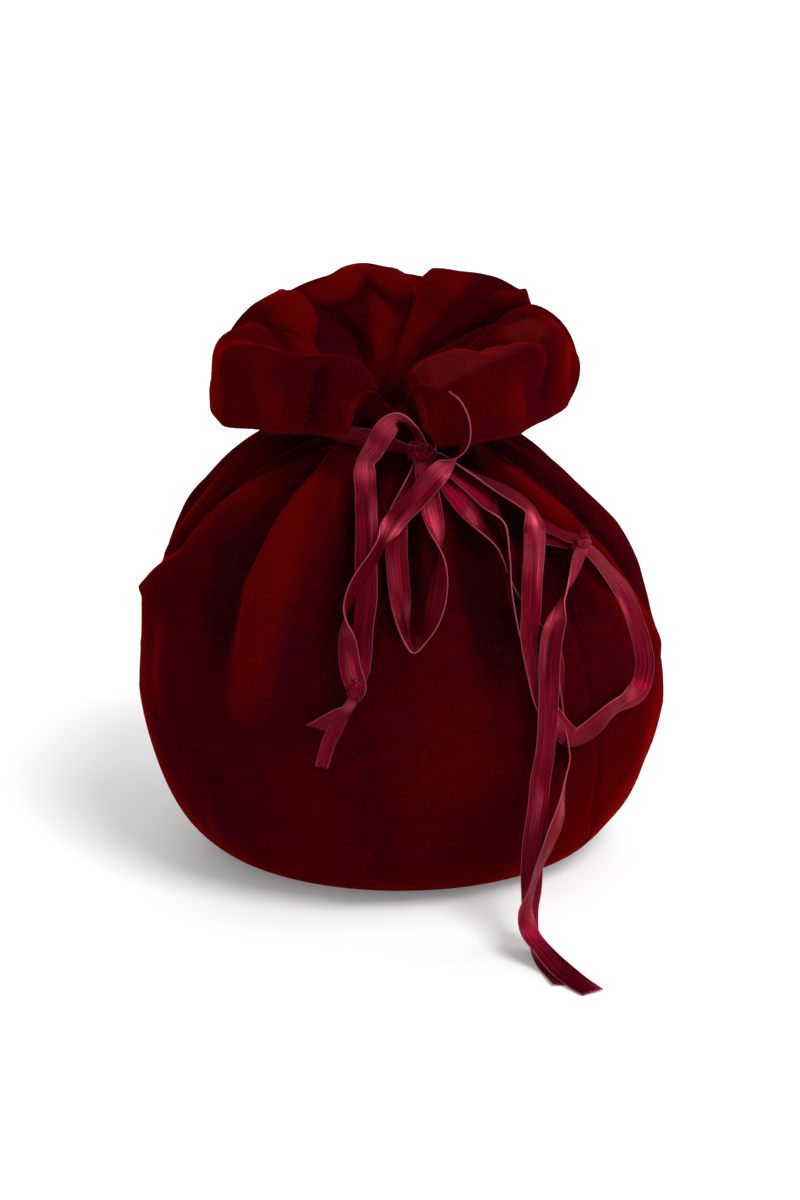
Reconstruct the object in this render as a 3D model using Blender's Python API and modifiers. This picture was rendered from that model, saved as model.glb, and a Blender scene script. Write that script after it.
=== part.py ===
"""A kinchaku pouch: a filled velvet bag, gathered at the neck by satin ribbons.

The bag is one loft of closed rings. They run from the flat patch that it rests on,
up the belly and the shoulder to the neck, up the outside of the ruffle to its rim,
over the rim and down the inside of the funnel to the gathered throat.
The ribbons are flat strips that lie on the bag, between three small knots.

Units are metres, +Z is up, and the front of the pouch faces -Y.
The origin is the middle of the patch that the pouch rests on.
"""

import math

import bmesh
import bpy
from mathutils import Vector

# The filled bag
BELLY_HALF_WIDTH = 0.0865
BELLY_HALF_DEPTH = 0.0670
BELLY_HEIGHT = 0.0600
BASE_HALF_WIDTH = 0.0500
BASE_HALF_DEPTH = 0.0360
NECK_RADIUS = 0.0250
NECK_HEIGHT = 0.1515
TIE_HEIGHT = 0.0080
SIDE_FULLNESS = 0.56
FRONT_FULLNESS = 0.72
SHOULDER_LEAN = -0.0040
SEAM_DIP = 0.0009
SEAM_ANGLE = 50.0

# Gathers at the neck, which fade down the shoulder and up the ruffle
GATHER_COUNT = 19
GATHER_DEPTH = 0.0024
GATHER_DROP = 0.0260
GATHER_RISE = 0.0140

# The ruffle and its funnel
CLOTH = 0.0026
ROLL_SHARE = 0.42
THROAT_X = -0.0070
THROAT_RADIUS = 0.0050
THROAT_RISE = 0.0100
FUNNEL_SHARE = 0.62
FUNNEL_PLEATS = 11
FUNNEL_PLEAT_DEPTH = 0.0016

# Ribbon and knots
RIBBON_WIDTH = 0.0070
RIBBON_THICKNESS = 0.0006
RIBBON_PITCH = 0.0060
CLEARANCE = 0.0003
BOW_KNOT = (0.0050, 0.0042, 0.0046)
SIDE_KNOT = (0.0042, 0.0034, 0.0042)

# How finely the bag is lofted, and how far in degrees its columns crowd to the front
AROUND = 104
FRONT_CROWDING = 18.0
BELLY_RINGS = 8
SHOULDER_RINGS = 17
RUFFLE_RINGS = 12
FUNNEL_RINGS = 10

# Each row is one fold of the ruffle, going round the pouch. The angle is in degrees
# from the front, and grows to the right. Then come the length of cloth above the tie
# in mm, the slope where it leaves the tie and the slope at its rim in degrees, and
# how far along the cloth it turns over.
RUFFLE_FOLDS = (
    (-164, 45, 60, 5, 0.70),
    (-148, 40, 70, 40, 0.72),
    (-132, 46, 60, -5, 0.68),
    (-118, 42, 66, -10, 0.68),
    (-104, 57, 48, -60, 0.63),
    (-90, 66, 42, -86, 0.62),
    (-74, 64, 42, -90, 0.62),
    (-58, 58, 49, -92, 0.60),
    (-44, 54, 55, -88, 0.59),
    (-32, 51, 62, -84, 0.57),
    (-24, 45, 69, -74, 0.55),
    (-19, 30, 80, -20, 0.58),
    (-14, 12, 92, 60, 0.60),
    (-4, 7, 97, 80, 0.60),
    (4, 12, 92, 60, 0.60),
    (9, 30, 80, -20, 0.58),
    (16, 45, 69, -72, 0.55),
    (31, 52, 60, -85, 0.58),
    (49, 56, 54, -88, 0.60),
    (67, 58, 49, -92, 0.61),
    (84, 58, 49, -88, 0.61),
    (101, 51, 55, -60, 0.66),
    (113, 37, 67, 10, 0.72),
    (125, 43, 63, 10, 0.72),
    (141, 44, 62, 10, 0.72),
    (155, 36, 73, 50, 0.76),
    (170, 42, 61, 10, 0.72),
    (183, 36, 73, 45, 0.75),
)

# Each row is one furrow between two folds of the bag: its angle at the neck and its
# angle where it ends, in degrees, the height where it has faded in mm, its depth in
# mm and its half width in degrees.
FURROWS = (
    (-64, -78, 58, 4.2, 11),
    (-44, -62, 84, 4.6, 10),
    (-30, -40, 62, 6.0, 9),
    (-13, -17, 88, 3.2, 8),
    (4, 2, 98, 3.4, 8),
    (19, 24, 92, 3.4, 8),
    (37, 47, 84, 4.6, 9),
    (58, 63, 100, 3.0, 9),
    (82, 76, 78, 4.0, 11),
    (104, 98, 66, 4.4, 11),
    (128, 122, 80, 4.6, 11),
    (151, 150, 66, 4.0, 10),
    (174, 178, 84, 4.4, 11),
    (-160, -154, 70, 4.2, 10),
    (-136, -130, 82, 4.4, 11),
    (-110, -104, 72, 4.4, 11),
    (-88, -93, 88, 3.4, 9),
)

# Each row is one fold that stands up on the shoulder: its angle and height in mm near
# the neck, its angle and height where it has faded, its rise in mm, and how wide its
# steep and its slack flank are in mm. The steep flank lies towards the smaller angle.
FOLDS = (
    (-48, 146, -92, 76, 3.4, 6, 9),
    (-33, 146, -38, 64, 4.6, 4, 14),
    (80, 146, 93, 84, 3.4, 6, 8),
    (122, 146, 108, 70, 3.0, 6, 9),
    (166, 146, 172, 74, 3.0, 7, 8),
    (-120, 146, -110, 76, 3.0, 6, 9),
)

# Knots: the angle round the pouch in degrees, the height in mm, and how far the
# middle stands off the velvet in mm.
BOW_KNOT_AT = (11.0, 145.5, 6.4)
LEFT_KNOT_AT = (-8.5, 84.0, 4.6)
RIGHT_KNOT_AT = (56.0, 117.0, 4.6)

# Ribbon routes: rows of angle, height and stand-off, in the same units as the knots.
RIBBON_NECK = (
    (13, 151.6, 11.5), (8, 151.6, 10), (2, 151.6, 7), (-6, 151.6, 3.4), (-17, 151.6, 1.4),
    (-40, 151.6, 1.0), (-70, 151.6, 1.0), (-100, 151.6, 1.0), (-130, 151.6, 1.0),
    (-160, 151.6, 1.0), (-190, 151.6, 1.0), (-220, 151.6, 1.0), (-250, 151.6, 1.0),
    (-280, 151.6, 1.0), (-305, 151.6, 1.0),
)
LEFT_FRONT = (
    (11, 146, 8), (10.5, 155, 13), (5, 162, 16.4), (-1, 165, 19), (-6, 161.5, 19.6),
    (-10.5, 155, 17.6), (-10, 141, 11), (-7.5, 135, 4.4), (-6, 128.5, 2.6), (-5.5, 120.5, 2.2),
    (-5.5, 110.5, 2.2), (-6.5, 102.5, 2.6), (-7.5, 92.5, 3.2), (-8.5, 84, 3.6),
)
LEFT_BACK = (
    (17, 176, 27.4), (19.5, 173.5, 30), (22.5, 167, 29), (23.5, 159, 26), (21, 151.6, 20.5),
    (14, 138.5, 10.5), (7, 134, 7.6), (3.5, 131.5, 6.2), (0, 127.5, 5.2), (-3.5, 121, 4.8),
    (-7, 115, 4.6), (-9.5, 109, 4.4), (-10.5, 103.5, 4.4), (-10, 97, 4.6), (-9.5, 90, 5),
    (-8.5, 84, 5.6),
)
BOW_LOOP = (
    (11, 145.5, 5), (8, 142, 4), (5, 137.5, 3), (3, 132.5, 2.2), (2.5, 126, 1.8),
    (2.5, 119.5, 1.4), (2.5, 110.5, 1.4), (2.5, 103.5, 1.4), (3, 98, 1.6), (4, 95.5, 2),
    (5.5, 97, 2.4), (8.5, 102.5, 2.6), (11, 109.5, 2.6), (13, 116.5, 2.4), (14, 121.5, 2.4),
    (14, 128, 2.8), (13, 133.5, 3.6), (12, 138.5, 5), (11, 142, 6.6), (11, 146, 8),
)
SHORT_TAIL = (
    (11, 145.5, 3.6), (17, 142.5, 2.4), (21.5, 138, 2), (25, 133.5, 1.8), (28, 128, 1.6),
    (30.5, 123, 1.2), (31, 118.5, 1.2), (31, 113, 1.2), (32.5, 106, 1.2), (36, 98, 1.2),
)
RIGHT_STRAND = (
    (11, 145.5, 5.6), (18, 143.5, 4.6), (24, 140.5, 4.2), (29.5, 136.5, 3.8), (33.5, 131, 3.4),
    (34.5, 126, 3), (32, 119.5, 2.8), (30, 113, 2.6), (29, 106, 2.6), (29, 98.5, 2.6),
    (30.5, 93, 2.6),
)
RIGHT_LOOP = (
    (11, 145.5, 7.6), (19.5, 144, 6.8), (26, 141, 6.4), (34, 137, 6), (40.5, 133, 5.6),
    (44, 129.5, 5.4), (43.5, 126, 5.2), (40, 120, 5), (35.5, 111.5, 4.8), (32.5, 103.5, 4.6),
    (30, 95.5, 4.6), (29.5, 87, 4.6), (30, 79.5, 4.6), (32, 72.5, 4.4), (35, 66, 4), (38, 62.5, 3.6),
    (43, 63.5, 3), (50, 67.5, 2.8), (59.5, 69.5, 2.8), (63.5, 74, 2.8), (65, 80, 2.8),
    (65, 89, 2.8), (64.5, 99, 3), (61.5, 107.5, 3.4), (59.5, 112.5, 3.8), (56, 117, 4.4),
)
UPPER_1 = (
    (56, 117, 5.6), (52.5, 120, 4.4), (49.5, 123, 3.4), (47.5, 125, 2.8), (45, 127, 2.6),
)
UPPER_2 = (
    (57, 117, 3.2), (52.5, 118.5, 2.4), (49, 120.5, 1.6), (46, 122, 1.2), (43, 123, 1.2),
)
TAIL_1 = (
    (56, 117, 5), (51.5, 113.5, 5), (46, 109, 5.4), (41, 104.5, 6), (37, 99, 6.6),
    (34.5, 94.5, 7), (32.5, 87.5, 7.2), (31.5, 80.5, 7.2), (30.5, 71.5, 7), (29.5, 61.5, 7.6),
    (28, 54, 9.8), (27, 44.5, 12.8), (26, 35, 16.4), (25.5, 27, 20.4), (25.5, 19, 25),
    (25.5, 12.5, 30), (26, 6.5, 38), (26.5, 2.2, 49), (27, 0.8, 60.5), (27, 0.8, 73),
)
TAIL_2 = (
    (57.5, 117, 2.8), (52, 113.5, 2.8), (46.5, 108.5, 3), (41, 103.5, 3.4), (38, 99.5, 3.6),
    (37, 94, 3.4), (37, 86, 2.6), (36.5, 78, 2), (36.5, 70, 1.6), (37, 62, 1.6), (37, 56, 2.4),
    (35, 50, 6.5), (31.5, 43, 14.6), (28, 35, 20.8), (25.5, 28, 25), (24, 20.5, 29.6),
    (23, 15, 34.5), (23.5, 9.6, 42), (25.5, 5.4, 51.5), (27, 3, 61.5), (28.5, 1.6, 72),
    (30, 0.8, 81),
)
LEFT_END_1 = (
    (-8.5, 84, 5.6), (-10, 78.5, 4.4), (-13, 75, 3.2), (-17, 70, 2.2),
)
LEFT_END_2 = (
    (-8.5, 84, 3.4), (-10.5, 77.5, 2.4), (-13.5, 69.5, 1.6), (-15, 64.5, 1.2), (-16.5, 56.5, 1.2),
)


def clear_scene():
    """Remove every object, and the meshes, curves and materials left from before."""
    for item in list(bpy.data.objects):
        bpy.data.objects.remove(item, do_unlink=True)
    for group in (bpy.data.meshes, bpy.data.curves, bpy.data.materials):
        for item in list(group):
            group.remove(item)


def smooth(t):
    """Ease from 0 to 1."""
    t = min(max(t, 0.0), 1.0)
    return t * t * (3.0 - 2.0 * t)


def wrap(angle):
    """An angle in degrees, brought between -180 and 180."""
    return (angle + 180.0) % 360.0 - 180.0


def bag_section(z):
    """Half width and half depth of the smooth bag at a height. The lower part is an
    ellipse in side view, and the shoulder above it is slacker at the front."""
    shoulder = NECK_HEIGHT - TIE_HEIGHT / 2.0
    if z >= shoulder:
        return NECK_RADIUS, NECK_RADIUS
    if z <= BELLY_HEIGHT:
        t = 1.0 - max(z, 0.0) / BELLY_HEIGHT
        swell = math.sqrt(1.0 - t * t)
        wide = BASE_HALF_WIDTH + (BELLY_HALF_WIDTH - BASE_HALF_WIDTH) * swell
        return wide, BASE_HALF_DEPTH + (BELLY_HALF_DEPTH - BASE_HALF_DEPTH) * swell
    t = (z - BELLY_HEIGHT) / (shoulder - BELLY_HEIGHT)
    wide = NECK_RADIUS + (BELLY_HALF_WIDTH - NECK_RADIUS) * (1.0 - t * t) ** SIDE_FULLNESS
    return wide, NECK_RADIUS + (BELLY_HALF_DEPTH - NECK_RADIUS) * (1.0 - t * t) ** FRONT_FULLNESS


def lean(z):
    """How far the slack shoulder sags to one side at a height."""
    t = (z - BELLY_HEIGHT) / (NECK_HEIGHT - TIE_HEIGHT / 2.0 - BELLY_HEIGHT)
    return SHOULDER_LEAN * math.sin(math.pi * min(max(t, 0.0), 1.0) ** 2.2)


def gather(angle, strength):
    """Depth of the fine gathers at an angle in degrees: round ridges, sharp valleys."""
    turn = math.radians(angle) * GATHER_COUNT / 2.0
    ridge = abs(math.cos(turn + 0.35 * math.sin(math.radians(3 * angle))))
    return GATHER_DEPTH * strength * (1.0 - ridge)


def furrow_depth(angle, z):
    """How far the folded bag lies inside its smooth shape at an angle and a height."""
    depth = 0.0
    for at_neck, at_end, end, deep, half in FURROWS:
        end = end / 1000.0
        if z < end:
            continue
        t = min((z - end) / (NECK_HEIGHT - end), 1.0)
        middle = at_end + (at_neck - at_end) * t
        across = wrap(angle - middle) / (half * (1.35 - 0.75 * t))
        swell = math.sin(math.pi * t ** 0.75)
        depth += deep / 1000.0 * max(swell, 0.0) ** 0.8 * math.exp(-1.6 * across * across)
    depth += gather(angle, smooth((z - NECK_HEIGHT + GATHER_DROP) / GATHER_DROP))
    side = wrap(angle - SEAM_ANGLE) / 1.6
    depth += SEAM_DIP * math.exp(-side * side) * smooth((NECK_HEIGHT - z) / 0.04) * smooth(z / 0.01)
    return depth


def fold_rise(angle, z):
    """How far the folds lift the bag at an angle and a height."""
    wide, deep = bag_section(z)
    a = math.radians(angle)
    radius = math.hypot(wide * math.cos(a), deep * math.sin(a)) * 1000.0
    rise = 0.0
    for at_neck, start, at_end, end, height, steep, slack in FOLDS:
        t = (z * 1000.0 - end) / (start - end)
        if not 0.0 < t < 1.0:
            continue
        middle = at_end + (at_neck - at_end) * t ** 1.4
        across = math.radians(wrap(angle - middle)) * radius
        across /= steep if across < 0.0 else slack
        rise += height * math.sin(math.pi * t) ** 0.8 * math.exp(-across * across)
    return rise / 1000.0


def bag_point(angle, z, off):
    """A point off the smooth bag along its normal, and the way a ribbon faces there.
    Below the belly the normal stays level, so what hangs there hangs clear of the bag,
    and a ribbon that runs out over the floor turns to face up."""
    step = 0.0040
    a = math.radians(angle)
    wide, deep = bag_section(z)
    place = Vector((wide * math.sin(a) + lean(z), -deep * math.cos(a), z))
    out = Vector((deep * math.sin(a), -wide * math.cos(a), 0.0)).normalized()
    if BELLY_HEIGHT < z < NECK_HEIGHT:
        low, high = bag_section(z - step), bag_section(z + step)
        fall = (low[0] - high[0]) * math.sin(a) ** 2 + (low[1] - high[1]) * math.cos(a) ** 2
        tilt = math.atan(fall / (2.0 * step))
        out = out * math.cos(tilt) + Vector((0.0, 0.0, math.sin(tilt)))
    face = out
    if z < BELLY_HEIGHT:
        face = out.lerp(Vector((0.0, 0.0, 1.0)), smooth((off - 0.026) / 0.026)).normalized()
    return place + out * off, face


def fold_at(angle):
    """The ruffle's length, slopes and turn at an angle, eased between its rows."""
    rows = RUFFLE_FOLDS
    angle = (angle - rows[0][0]) % 360.0 + rows[0][0]
    for i, low in enumerate(rows):
        high = rows[(i + 1) % len(rows)]
        span = (high[0] - low[0]) % 360.0
        if angle - low[0] <= span:
            t = smooth((angle - low[0]) / span)
            return [p + (q - p) * t for p, q in zip(low[1:], high[1:])]
    return list(rows[0][1:])


def ruffle_path(angle, count):
    """Points (r, z, slope) along the middle of the cloth, from the tie to the rim."""
    length, start, end, turn = fold_at(angle)
    length = length / 1000.0
    points = [(NECK_RADIUS - CLOTH / 2.0, NECK_HEIGHT + TIE_HEIGHT / 2.0, math.radians(start))]
    fine = 6
    step = length / (count * fine)
    r, z, _ = points[0]
    for i in range(count * fine):
        t = (i + 0.5) / (count * fine)
        slope = math.radians(start + (end - start) * smooth((t - turn) / ROLL_SHARE + 0.5))
        r += math.cos(slope) * step
        z += math.sin(slope) * step
        if (i + 1) % fine == 0:
            points.append((r, z, slope))
    return points


def pouch_column(angle):
    """Points up the outside of the pouch at one angle, over its rim and down to its
    throat."""
    a = math.radians(angle)
    shoulder = NECK_HEIGHT - TIE_HEIGHT / 2.0
    heights = []
    for i in range(BELLY_RINGS + 1):
        heights.append(BELLY_HEIGHT * (1.0 - math.cos(math.pi / 2.0 * i / BELLY_RINGS)))
    for i in range(1, SHOULDER_RINGS + 1):
        t = i / SHOULDER_RINGS
        heights.append(BELLY_HEIGHT + (shoulder - BELLY_HEIGHT) * (1.0 - (1.0 - t) ** 1.5))
    heights += [NECK_HEIGHT, NECK_HEIGHT + TIE_HEIGHT / 2.0]
    column = []
    for z in heights:
        wide, deep = bag_section(z)
        x, y = wide * math.sin(a), -deep * math.cos(a)
        inward = furrow_depth(angle, z) / math.hypot(x, y)
        place = bag_point(angle, z, fold_rise(angle, z))[0]
        column.append((place.x - x * inward, place.y - y * inward, place.z))
    path = ruffle_path(angle, RUFFLE_RINGS)
    length = fold_at(angle)[0] / 1000.0
    outline = []
    inside = []
    for i, (r, z, slope) in enumerate(path):
        s = length * i / RUFFLE_RINGS
        dip = gather(angle, 1.0 - smooth(s / GATHER_RISE))
        out_r, out_z = math.sin(slope) * CLOTH / 2.0, -math.cos(slope) * CLOTH / 2.0
        if i > 0:
            outline.append((r + out_r - dip, z + out_z))
        inside.append((r - out_r, z - out_z))
    throat = (THROAT_RADIUS, NECK_HEIGHT + THROAT_RISE)
    first = inside[0]
    funnel = []
    for i in range(FUNNEL_RINGS, -1, -1):
        t = i / FUNNEL_RINGS
        place = t * RUFFLE_RINGS
        k = min(int(place), RUFFLE_RINGS - 1)
        r = inside[k][0] + (inside[k + 1][0] - inside[k][0]) * (place - k)
        z = inside[k][1] + (inside[k + 1][1] - inside[k][1]) * (place - k)
        pull = (1.0 - min(t / FUNNEL_SHARE, 1.0)) ** 1.5
        r += (throat[0] - first[0]) * pull
        z += (throat[1] - first[1]) * pull
        pleat = math.cos(math.radians(angle) * FUNNEL_PLEATS + 0.8 * math.sin(math.radians(2 * angle)))
        lift = FUNNEL_PLEAT_DEPTH * pleat * math.sin(math.pi * min(t / FUNNEL_SHARE, 1.0))
        r += 0.4 * lift
        funnel.append((r * math.sin(a) + THROAT_X * pull, -r * math.cos(a), z - lift))
    column += [(r * math.sin(a), -r * math.cos(a), z) for r, z in outline]
    return column + funnel


def finish(item, collection, material):
    """Give an object its material and its collection, and shade it smooth."""
    collection.objects.link(item)
    item.data.materials.append(material)
    item.data.shade_smooth()
    return item


def make_pouch(collection, material):
    """Loft the rings of the pouch and close its base and its throat."""
    columns = []
    for i in range(AROUND):
        angle = 360.0 * i / AROUND - 180.0
        columns.append(pouch_column(angle - FRONT_CROWDING * math.sin(math.radians(angle))))
    shape = bmesh.new()
    grid = [[shape.verts.new(p) for p in column] for column in columns]
    count = len(grid[0])
    for i in range(AROUND):
        left, right = grid[i], grid[(i + 1) % AROUND]
        for j in range(count - 1):
            shape.faces.new((left[j], right[j], right[j + 1], left[j + 1]))
    shape.faces.new([column[0] for column in reversed(grid)])
    shape.faces.new([column[-1] for column in grid])
    bmesh.ops.recalc_face_normals(shape, faces=shape.faces)
    mesh = bpy.data.meshes.new("velvet_pouch")
    shape.to_mesh(mesh)
    shape.free()
    return finish(bpy.data.objects.new("velvet_pouch", mesh), collection, material)


def make_knot(name, at, radii, collection, material):
    """A tight knot: a flattened ball that faces away from the velvet."""
    middle, out = bag_point(*at)
    shape = bmesh.new()
    bmesh.ops.create_uvsphere(shape, u_segments=16, v_segments=10, radius=1.0)
    side = Vector((out.y, -out.x, 0.0)).normalized()
    up = side.cross(out)
    for vert in shape.verts:
        x, y, z = vert.co
        vert.co = middle + side * (x * radii[0]) + out * (y * radii[1]) + up * (z * radii[2])
    mesh = bpy.data.meshes.new(name)
    shape.to_mesh(mesh)
    shape.free()
    finish(bpy.data.objects.new(name, mesh), collection, material)
    return middle, side, out, up, radii


def inside_knot(point, knot, grow):
    """Whether a point lies in a knot that is grown by a distance on every side."""
    middle, side, out, up, radii = knot
    d = point - middle
    u = d.dot(side) / (radii[0] + grow)
    v = d.dot(out) / (radii[1] + grow)
    w = d.dot(up) / (radii[2] + grow)
    return u * u + v * v + w * w < 1.0


def smooth_route(rows, fine=40):
    """Points and outward directions on a smooth curve through the rows of a route."""
    rows = [tuple(float(v) for v in row) for row in rows]
    first = tuple(2 * a - b for a, b in zip(rows[0], rows[1]))
    last = tuple(2 * a - b for a, b in zip(rows[-1], rows[-2]))
    keys = [first] + rows + [last]
    route = []
    for i in range(len(rows) - 1):
        p0, p1, p2, p3 = keys[i:i + 4]
        for k in range(fine):
            t = k / fine
            row = []
            for a, b, c, d in zip(p0, p1, p2, p3):
                bend = (2 * a - 5 * b + 4 * c - d) * t * t + (3 * b - a - 3 * c + d) * t * t * t
                row.append(0.5 * (2 * b + (c - a) * t + bend))
            route.append(bag_point(row[0], row[1] / 1000.0, row[2] / 1000.0))
    route.append(bag_point(rows[-1][0], rows[-1][1] / 1000.0, rows[-1][2] / 1000.0))
    return route


def make_ribbon(name, rows, knots, collection, material):
    """A flat ribbon along a route. It narrows into each knot that it runs to, and its
    end stays a clearance away from the knot."""
    route = smooth_route(rows)
    reach = CLEARANCE + RIBBON_THICKNESS / 2.0
    for knot in knots:
        route = [p for p in route if not inside_knot(p[0], knot, reach)]
    runs = [0.0]
    for before, after in zip(route, route[1:]):
        runs.append(runs[-1] + (after[0] - before[0]).length)
    total = runs[-1]
    count = max(3, round(total / RIBBON_PITCH))
    shape = bmesh.new()
    strip = []
    k = 0
    for i in range(count + 1):
        s = total * i / count
        while k < len(runs) - 2 and runs[k + 1] < s:
            k += 1
        span = max(runs[k + 1] - runs[k], 1e-9)
        t = min(max((s - runs[k]) / span, 0.0), 1.0)
        middle = route[k][0].lerp(route[k + 1][0], t)
        out = route[k][1].lerp(route[k + 1][1], t).normalized()
        along = (route[min(k + 2, len(route) - 1)][0] - route[max(k - 1, 0)][0]).normalized()
        half = RIBBON_WIDTH / 2.0
        for knot in knots:
            gap = (middle - knot[0]).length - min(knot[4])
            half *= 0.30 + 0.70 * smooth(gap / 0.013)
        across = along.cross(out).normalized()
        strip.append((shape.verts.new(middle - across * half), shape.verts.new(middle + across * half)))
    for (a, b), (c, d) in zip(strip, strip[1:]):
        shape.faces.new((a, b, d, c))
    mesh = bpy.data.meshes.new(name)
    shape.to_mesh(mesh)
    shape.free()
    item = finish(bpy.data.objects.new(name, mesh), collection, material)
    solid = item.modifiers.new("Thickness", "SOLIDIFY")
    solid.thickness = RIBBON_THICKNESS
    solid.offset = 0.0
    return item


def make_material(name, colour, roughness, metallic):
    """A plain Principled material."""
    material = bpy.data.materials.new(name)
    material.use_nodes = True
    shader = material.node_tree.nodes["Principled BSDF"]
    shader.inputs["Base Color"].default_value = (*colour, 1.0)
    shader.inputs["Roughness"].default_value = roughness
    shader.inputs["Metallic"].default_value = metallic
    material.diffuse_color = (*colour, 1.0)
    return material


def build():
    """Build the pouch, its knots and its ribbons."""
    clear_scene()
    collection = bpy.data.collections.new("kinchaku_pouch")
    bpy.context.scene.collection.children.link(collection)
    velvet = make_material("crimson_velvet", (0.090, 0.004, 0.008), 0.85, 0.0)
    satin = make_material("burgundy_satin", (0.230, 0.012, 0.040), 0.38, 0.0)
    make_pouch(collection, velvet)
    bow = make_knot("bow_knot", in_metres(BOW_KNOT_AT), BOW_KNOT, collection, satin)
    left = make_knot("left_knot", in_metres(LEFT_KNOT_AT), SIDE_KNOT, collection, satin)
    right = make_knot("right_knot", in_metres(RIGHT_KNOT_AT), SIDE_KNOT, collection, satin)
    ribbons = (
        ("ribbon_neck", RIBBON_NECK, (bow,)),
        ("ribbon_left_front", LEFT_FRONT, (bow, left)),
        ("ribbon_left_back", LEFT_BACK, (left,)),
        ("ribbon_bow_loop", BOW_LOOP, (bow,)),
        ("ribbon_short_tail", SHORT_TAIL, (bow,)),
        ("ribbon_right_strand", RIGHT_STRAND, (bow,)),
        ("ribbon_right_loop", RIGHT_LOOP, (bow, right)),
        ("ribbon_upper_1", UPPER_1, (right,)),
        ("ribbon_upper_2", UPPER_2, (right,)),
        ("ribbon_tail_1", TAIL_1, (right,)),
        ("ribbon_tail_2", TAIL_2, (right,)),
        ("left_end_1", LEFT_END_1, (left,)),
        ("left_end_2", LEFT_END_2, (left,)),
    )
    for name, rows, knots in ribbons:
        make_ribbon(name, rows, knots, collection, satin)


def in_metres(at):
    """A knot's place with its height and stand-off in metres."""
    return at[0], at[1] / 1000.0, at[2] / 1000.0


build()
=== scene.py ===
# %% [markdown]
# # A kinchaku pouch in velvet, tied with satin ribbon
# The real object is a small filled bag of dark red velvet. A ribbon pulls its neck shut, the
# cloth above the tie rolls over into a ruffle, and the ribbon's ends hang down the front.
# The imported model is loaded first as a fixed frame: it says where everything sits, and this
# script gives it the looks.

# %% Load the imported frame
import math

import bpy
import numpy as np
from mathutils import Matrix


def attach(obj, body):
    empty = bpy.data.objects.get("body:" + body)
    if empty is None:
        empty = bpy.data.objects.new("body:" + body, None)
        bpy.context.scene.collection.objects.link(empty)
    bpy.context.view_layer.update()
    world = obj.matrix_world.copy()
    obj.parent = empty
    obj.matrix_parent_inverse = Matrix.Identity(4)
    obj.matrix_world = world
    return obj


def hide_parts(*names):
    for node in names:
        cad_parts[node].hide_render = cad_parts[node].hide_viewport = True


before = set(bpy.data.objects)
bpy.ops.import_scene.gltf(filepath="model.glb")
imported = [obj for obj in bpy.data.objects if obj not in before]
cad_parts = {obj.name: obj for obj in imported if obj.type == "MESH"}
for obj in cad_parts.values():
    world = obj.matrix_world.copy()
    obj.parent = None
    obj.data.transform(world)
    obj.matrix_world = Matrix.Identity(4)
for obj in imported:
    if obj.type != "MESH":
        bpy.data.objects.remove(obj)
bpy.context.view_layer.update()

# %% [markdown]
# ## The camera
# The pouch was photographed from slightly above with a long lens, so its sides hardly taper.
# A camera 1.1 m away at 22 degrees, with a 100 mm lens on a 36 mm high sensor, frames it the
# same way. The sensor is fitted to the height, so the frame's width doesn't change the scale.
# The photograph's white is plain white, so the colours go through the Standard view.

# %% Camera
def add(name, data):
    """A new object in the scene."""
    item = bpy.data.objects.new(name, data)
    bpy.context.scene.collection.objects.link(item)
    return item


CAMERA_RISE = math.radians(22.0)
CAMERA_AWAY = 1.10
LOOK_AT = (0.0, 0.0, 0.087)
lens = bpy.data.cameras.new("studio_camera")
lens.lens = 100.0
lens.sensor_fit = "VERTICAL"
lens.sensor_height = 36.0
camera = add("studio_camera", lens)
camera.location = (0.0, -CAMERA_AWAY * math.cos(CAMERA_RISE),
                   LOOK_AT[2] + CAMERA_AWAY * math.sin(CAMERA_RISE))
camera.rotation_euler = (math.pi / 2.0 - CAMERA_RISE, 0.0, 0.0)
bpy.context.scene.camera = camera
bpy.context.scene.view_settings.view_transform = "Standard"
print("camera at", tuple(round(v, 4) for v in camera.location))

# %% [markdown]
# ## A way to say where a ribbon lies
# Every ribbon lies on the bag or just off it. So a place is easiest to give as three numbers:
# the angle round the bag, the height, and how far it stands off the velvet. The smooth bag
# under the folds is an oval at each height: an ellipse in side view below the belly, and a
# slack shoulder above it that narrows to the neck.

# %% The smooth bag
BELLY_HALF_WIDTH, BELLY_HALF_DEPTH, BELLY_HEIGHT = 0.0865, 0.0670, 0.0600
BASE_HALF_WIDTH, BASE_HALF_DEPTH = 0.0500, 0.0360
NECK_RADIUS, NECK_HEIGHT, TIE_HEIGHT = 0.0250, 0.1515, 0.0080
SIDE_FULLNESS, FRONT_FULLNESS, SHOULDER_LEAN = 0.56, 0.72, -0.0040
SHOULDER = NECK_HEIGHT - TIE_HEIGHT / 2.0
SLOPE_REACH = 0.004  # half the height over which the shoulder's slope is taken


def smooth(t):
    """Ease from 0 to 1: three t squared less two t cubed, held at both ends."""
    t = np.clip(t, 0.0, 1.0)
    return t * t * (3.0 - 2.0 * t)


def unit(v):
    """Vectors scaled to length 1."""
    return v / np.maximum(np.linalg.norm(v, axis=-1, keepdims=True), 1e-12)


def read_off(x, rows):
    """Values at x, from a table whose rows are (x, value)."""
    return np.interp(x, *np.array(rows, dtype=float).T)


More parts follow.
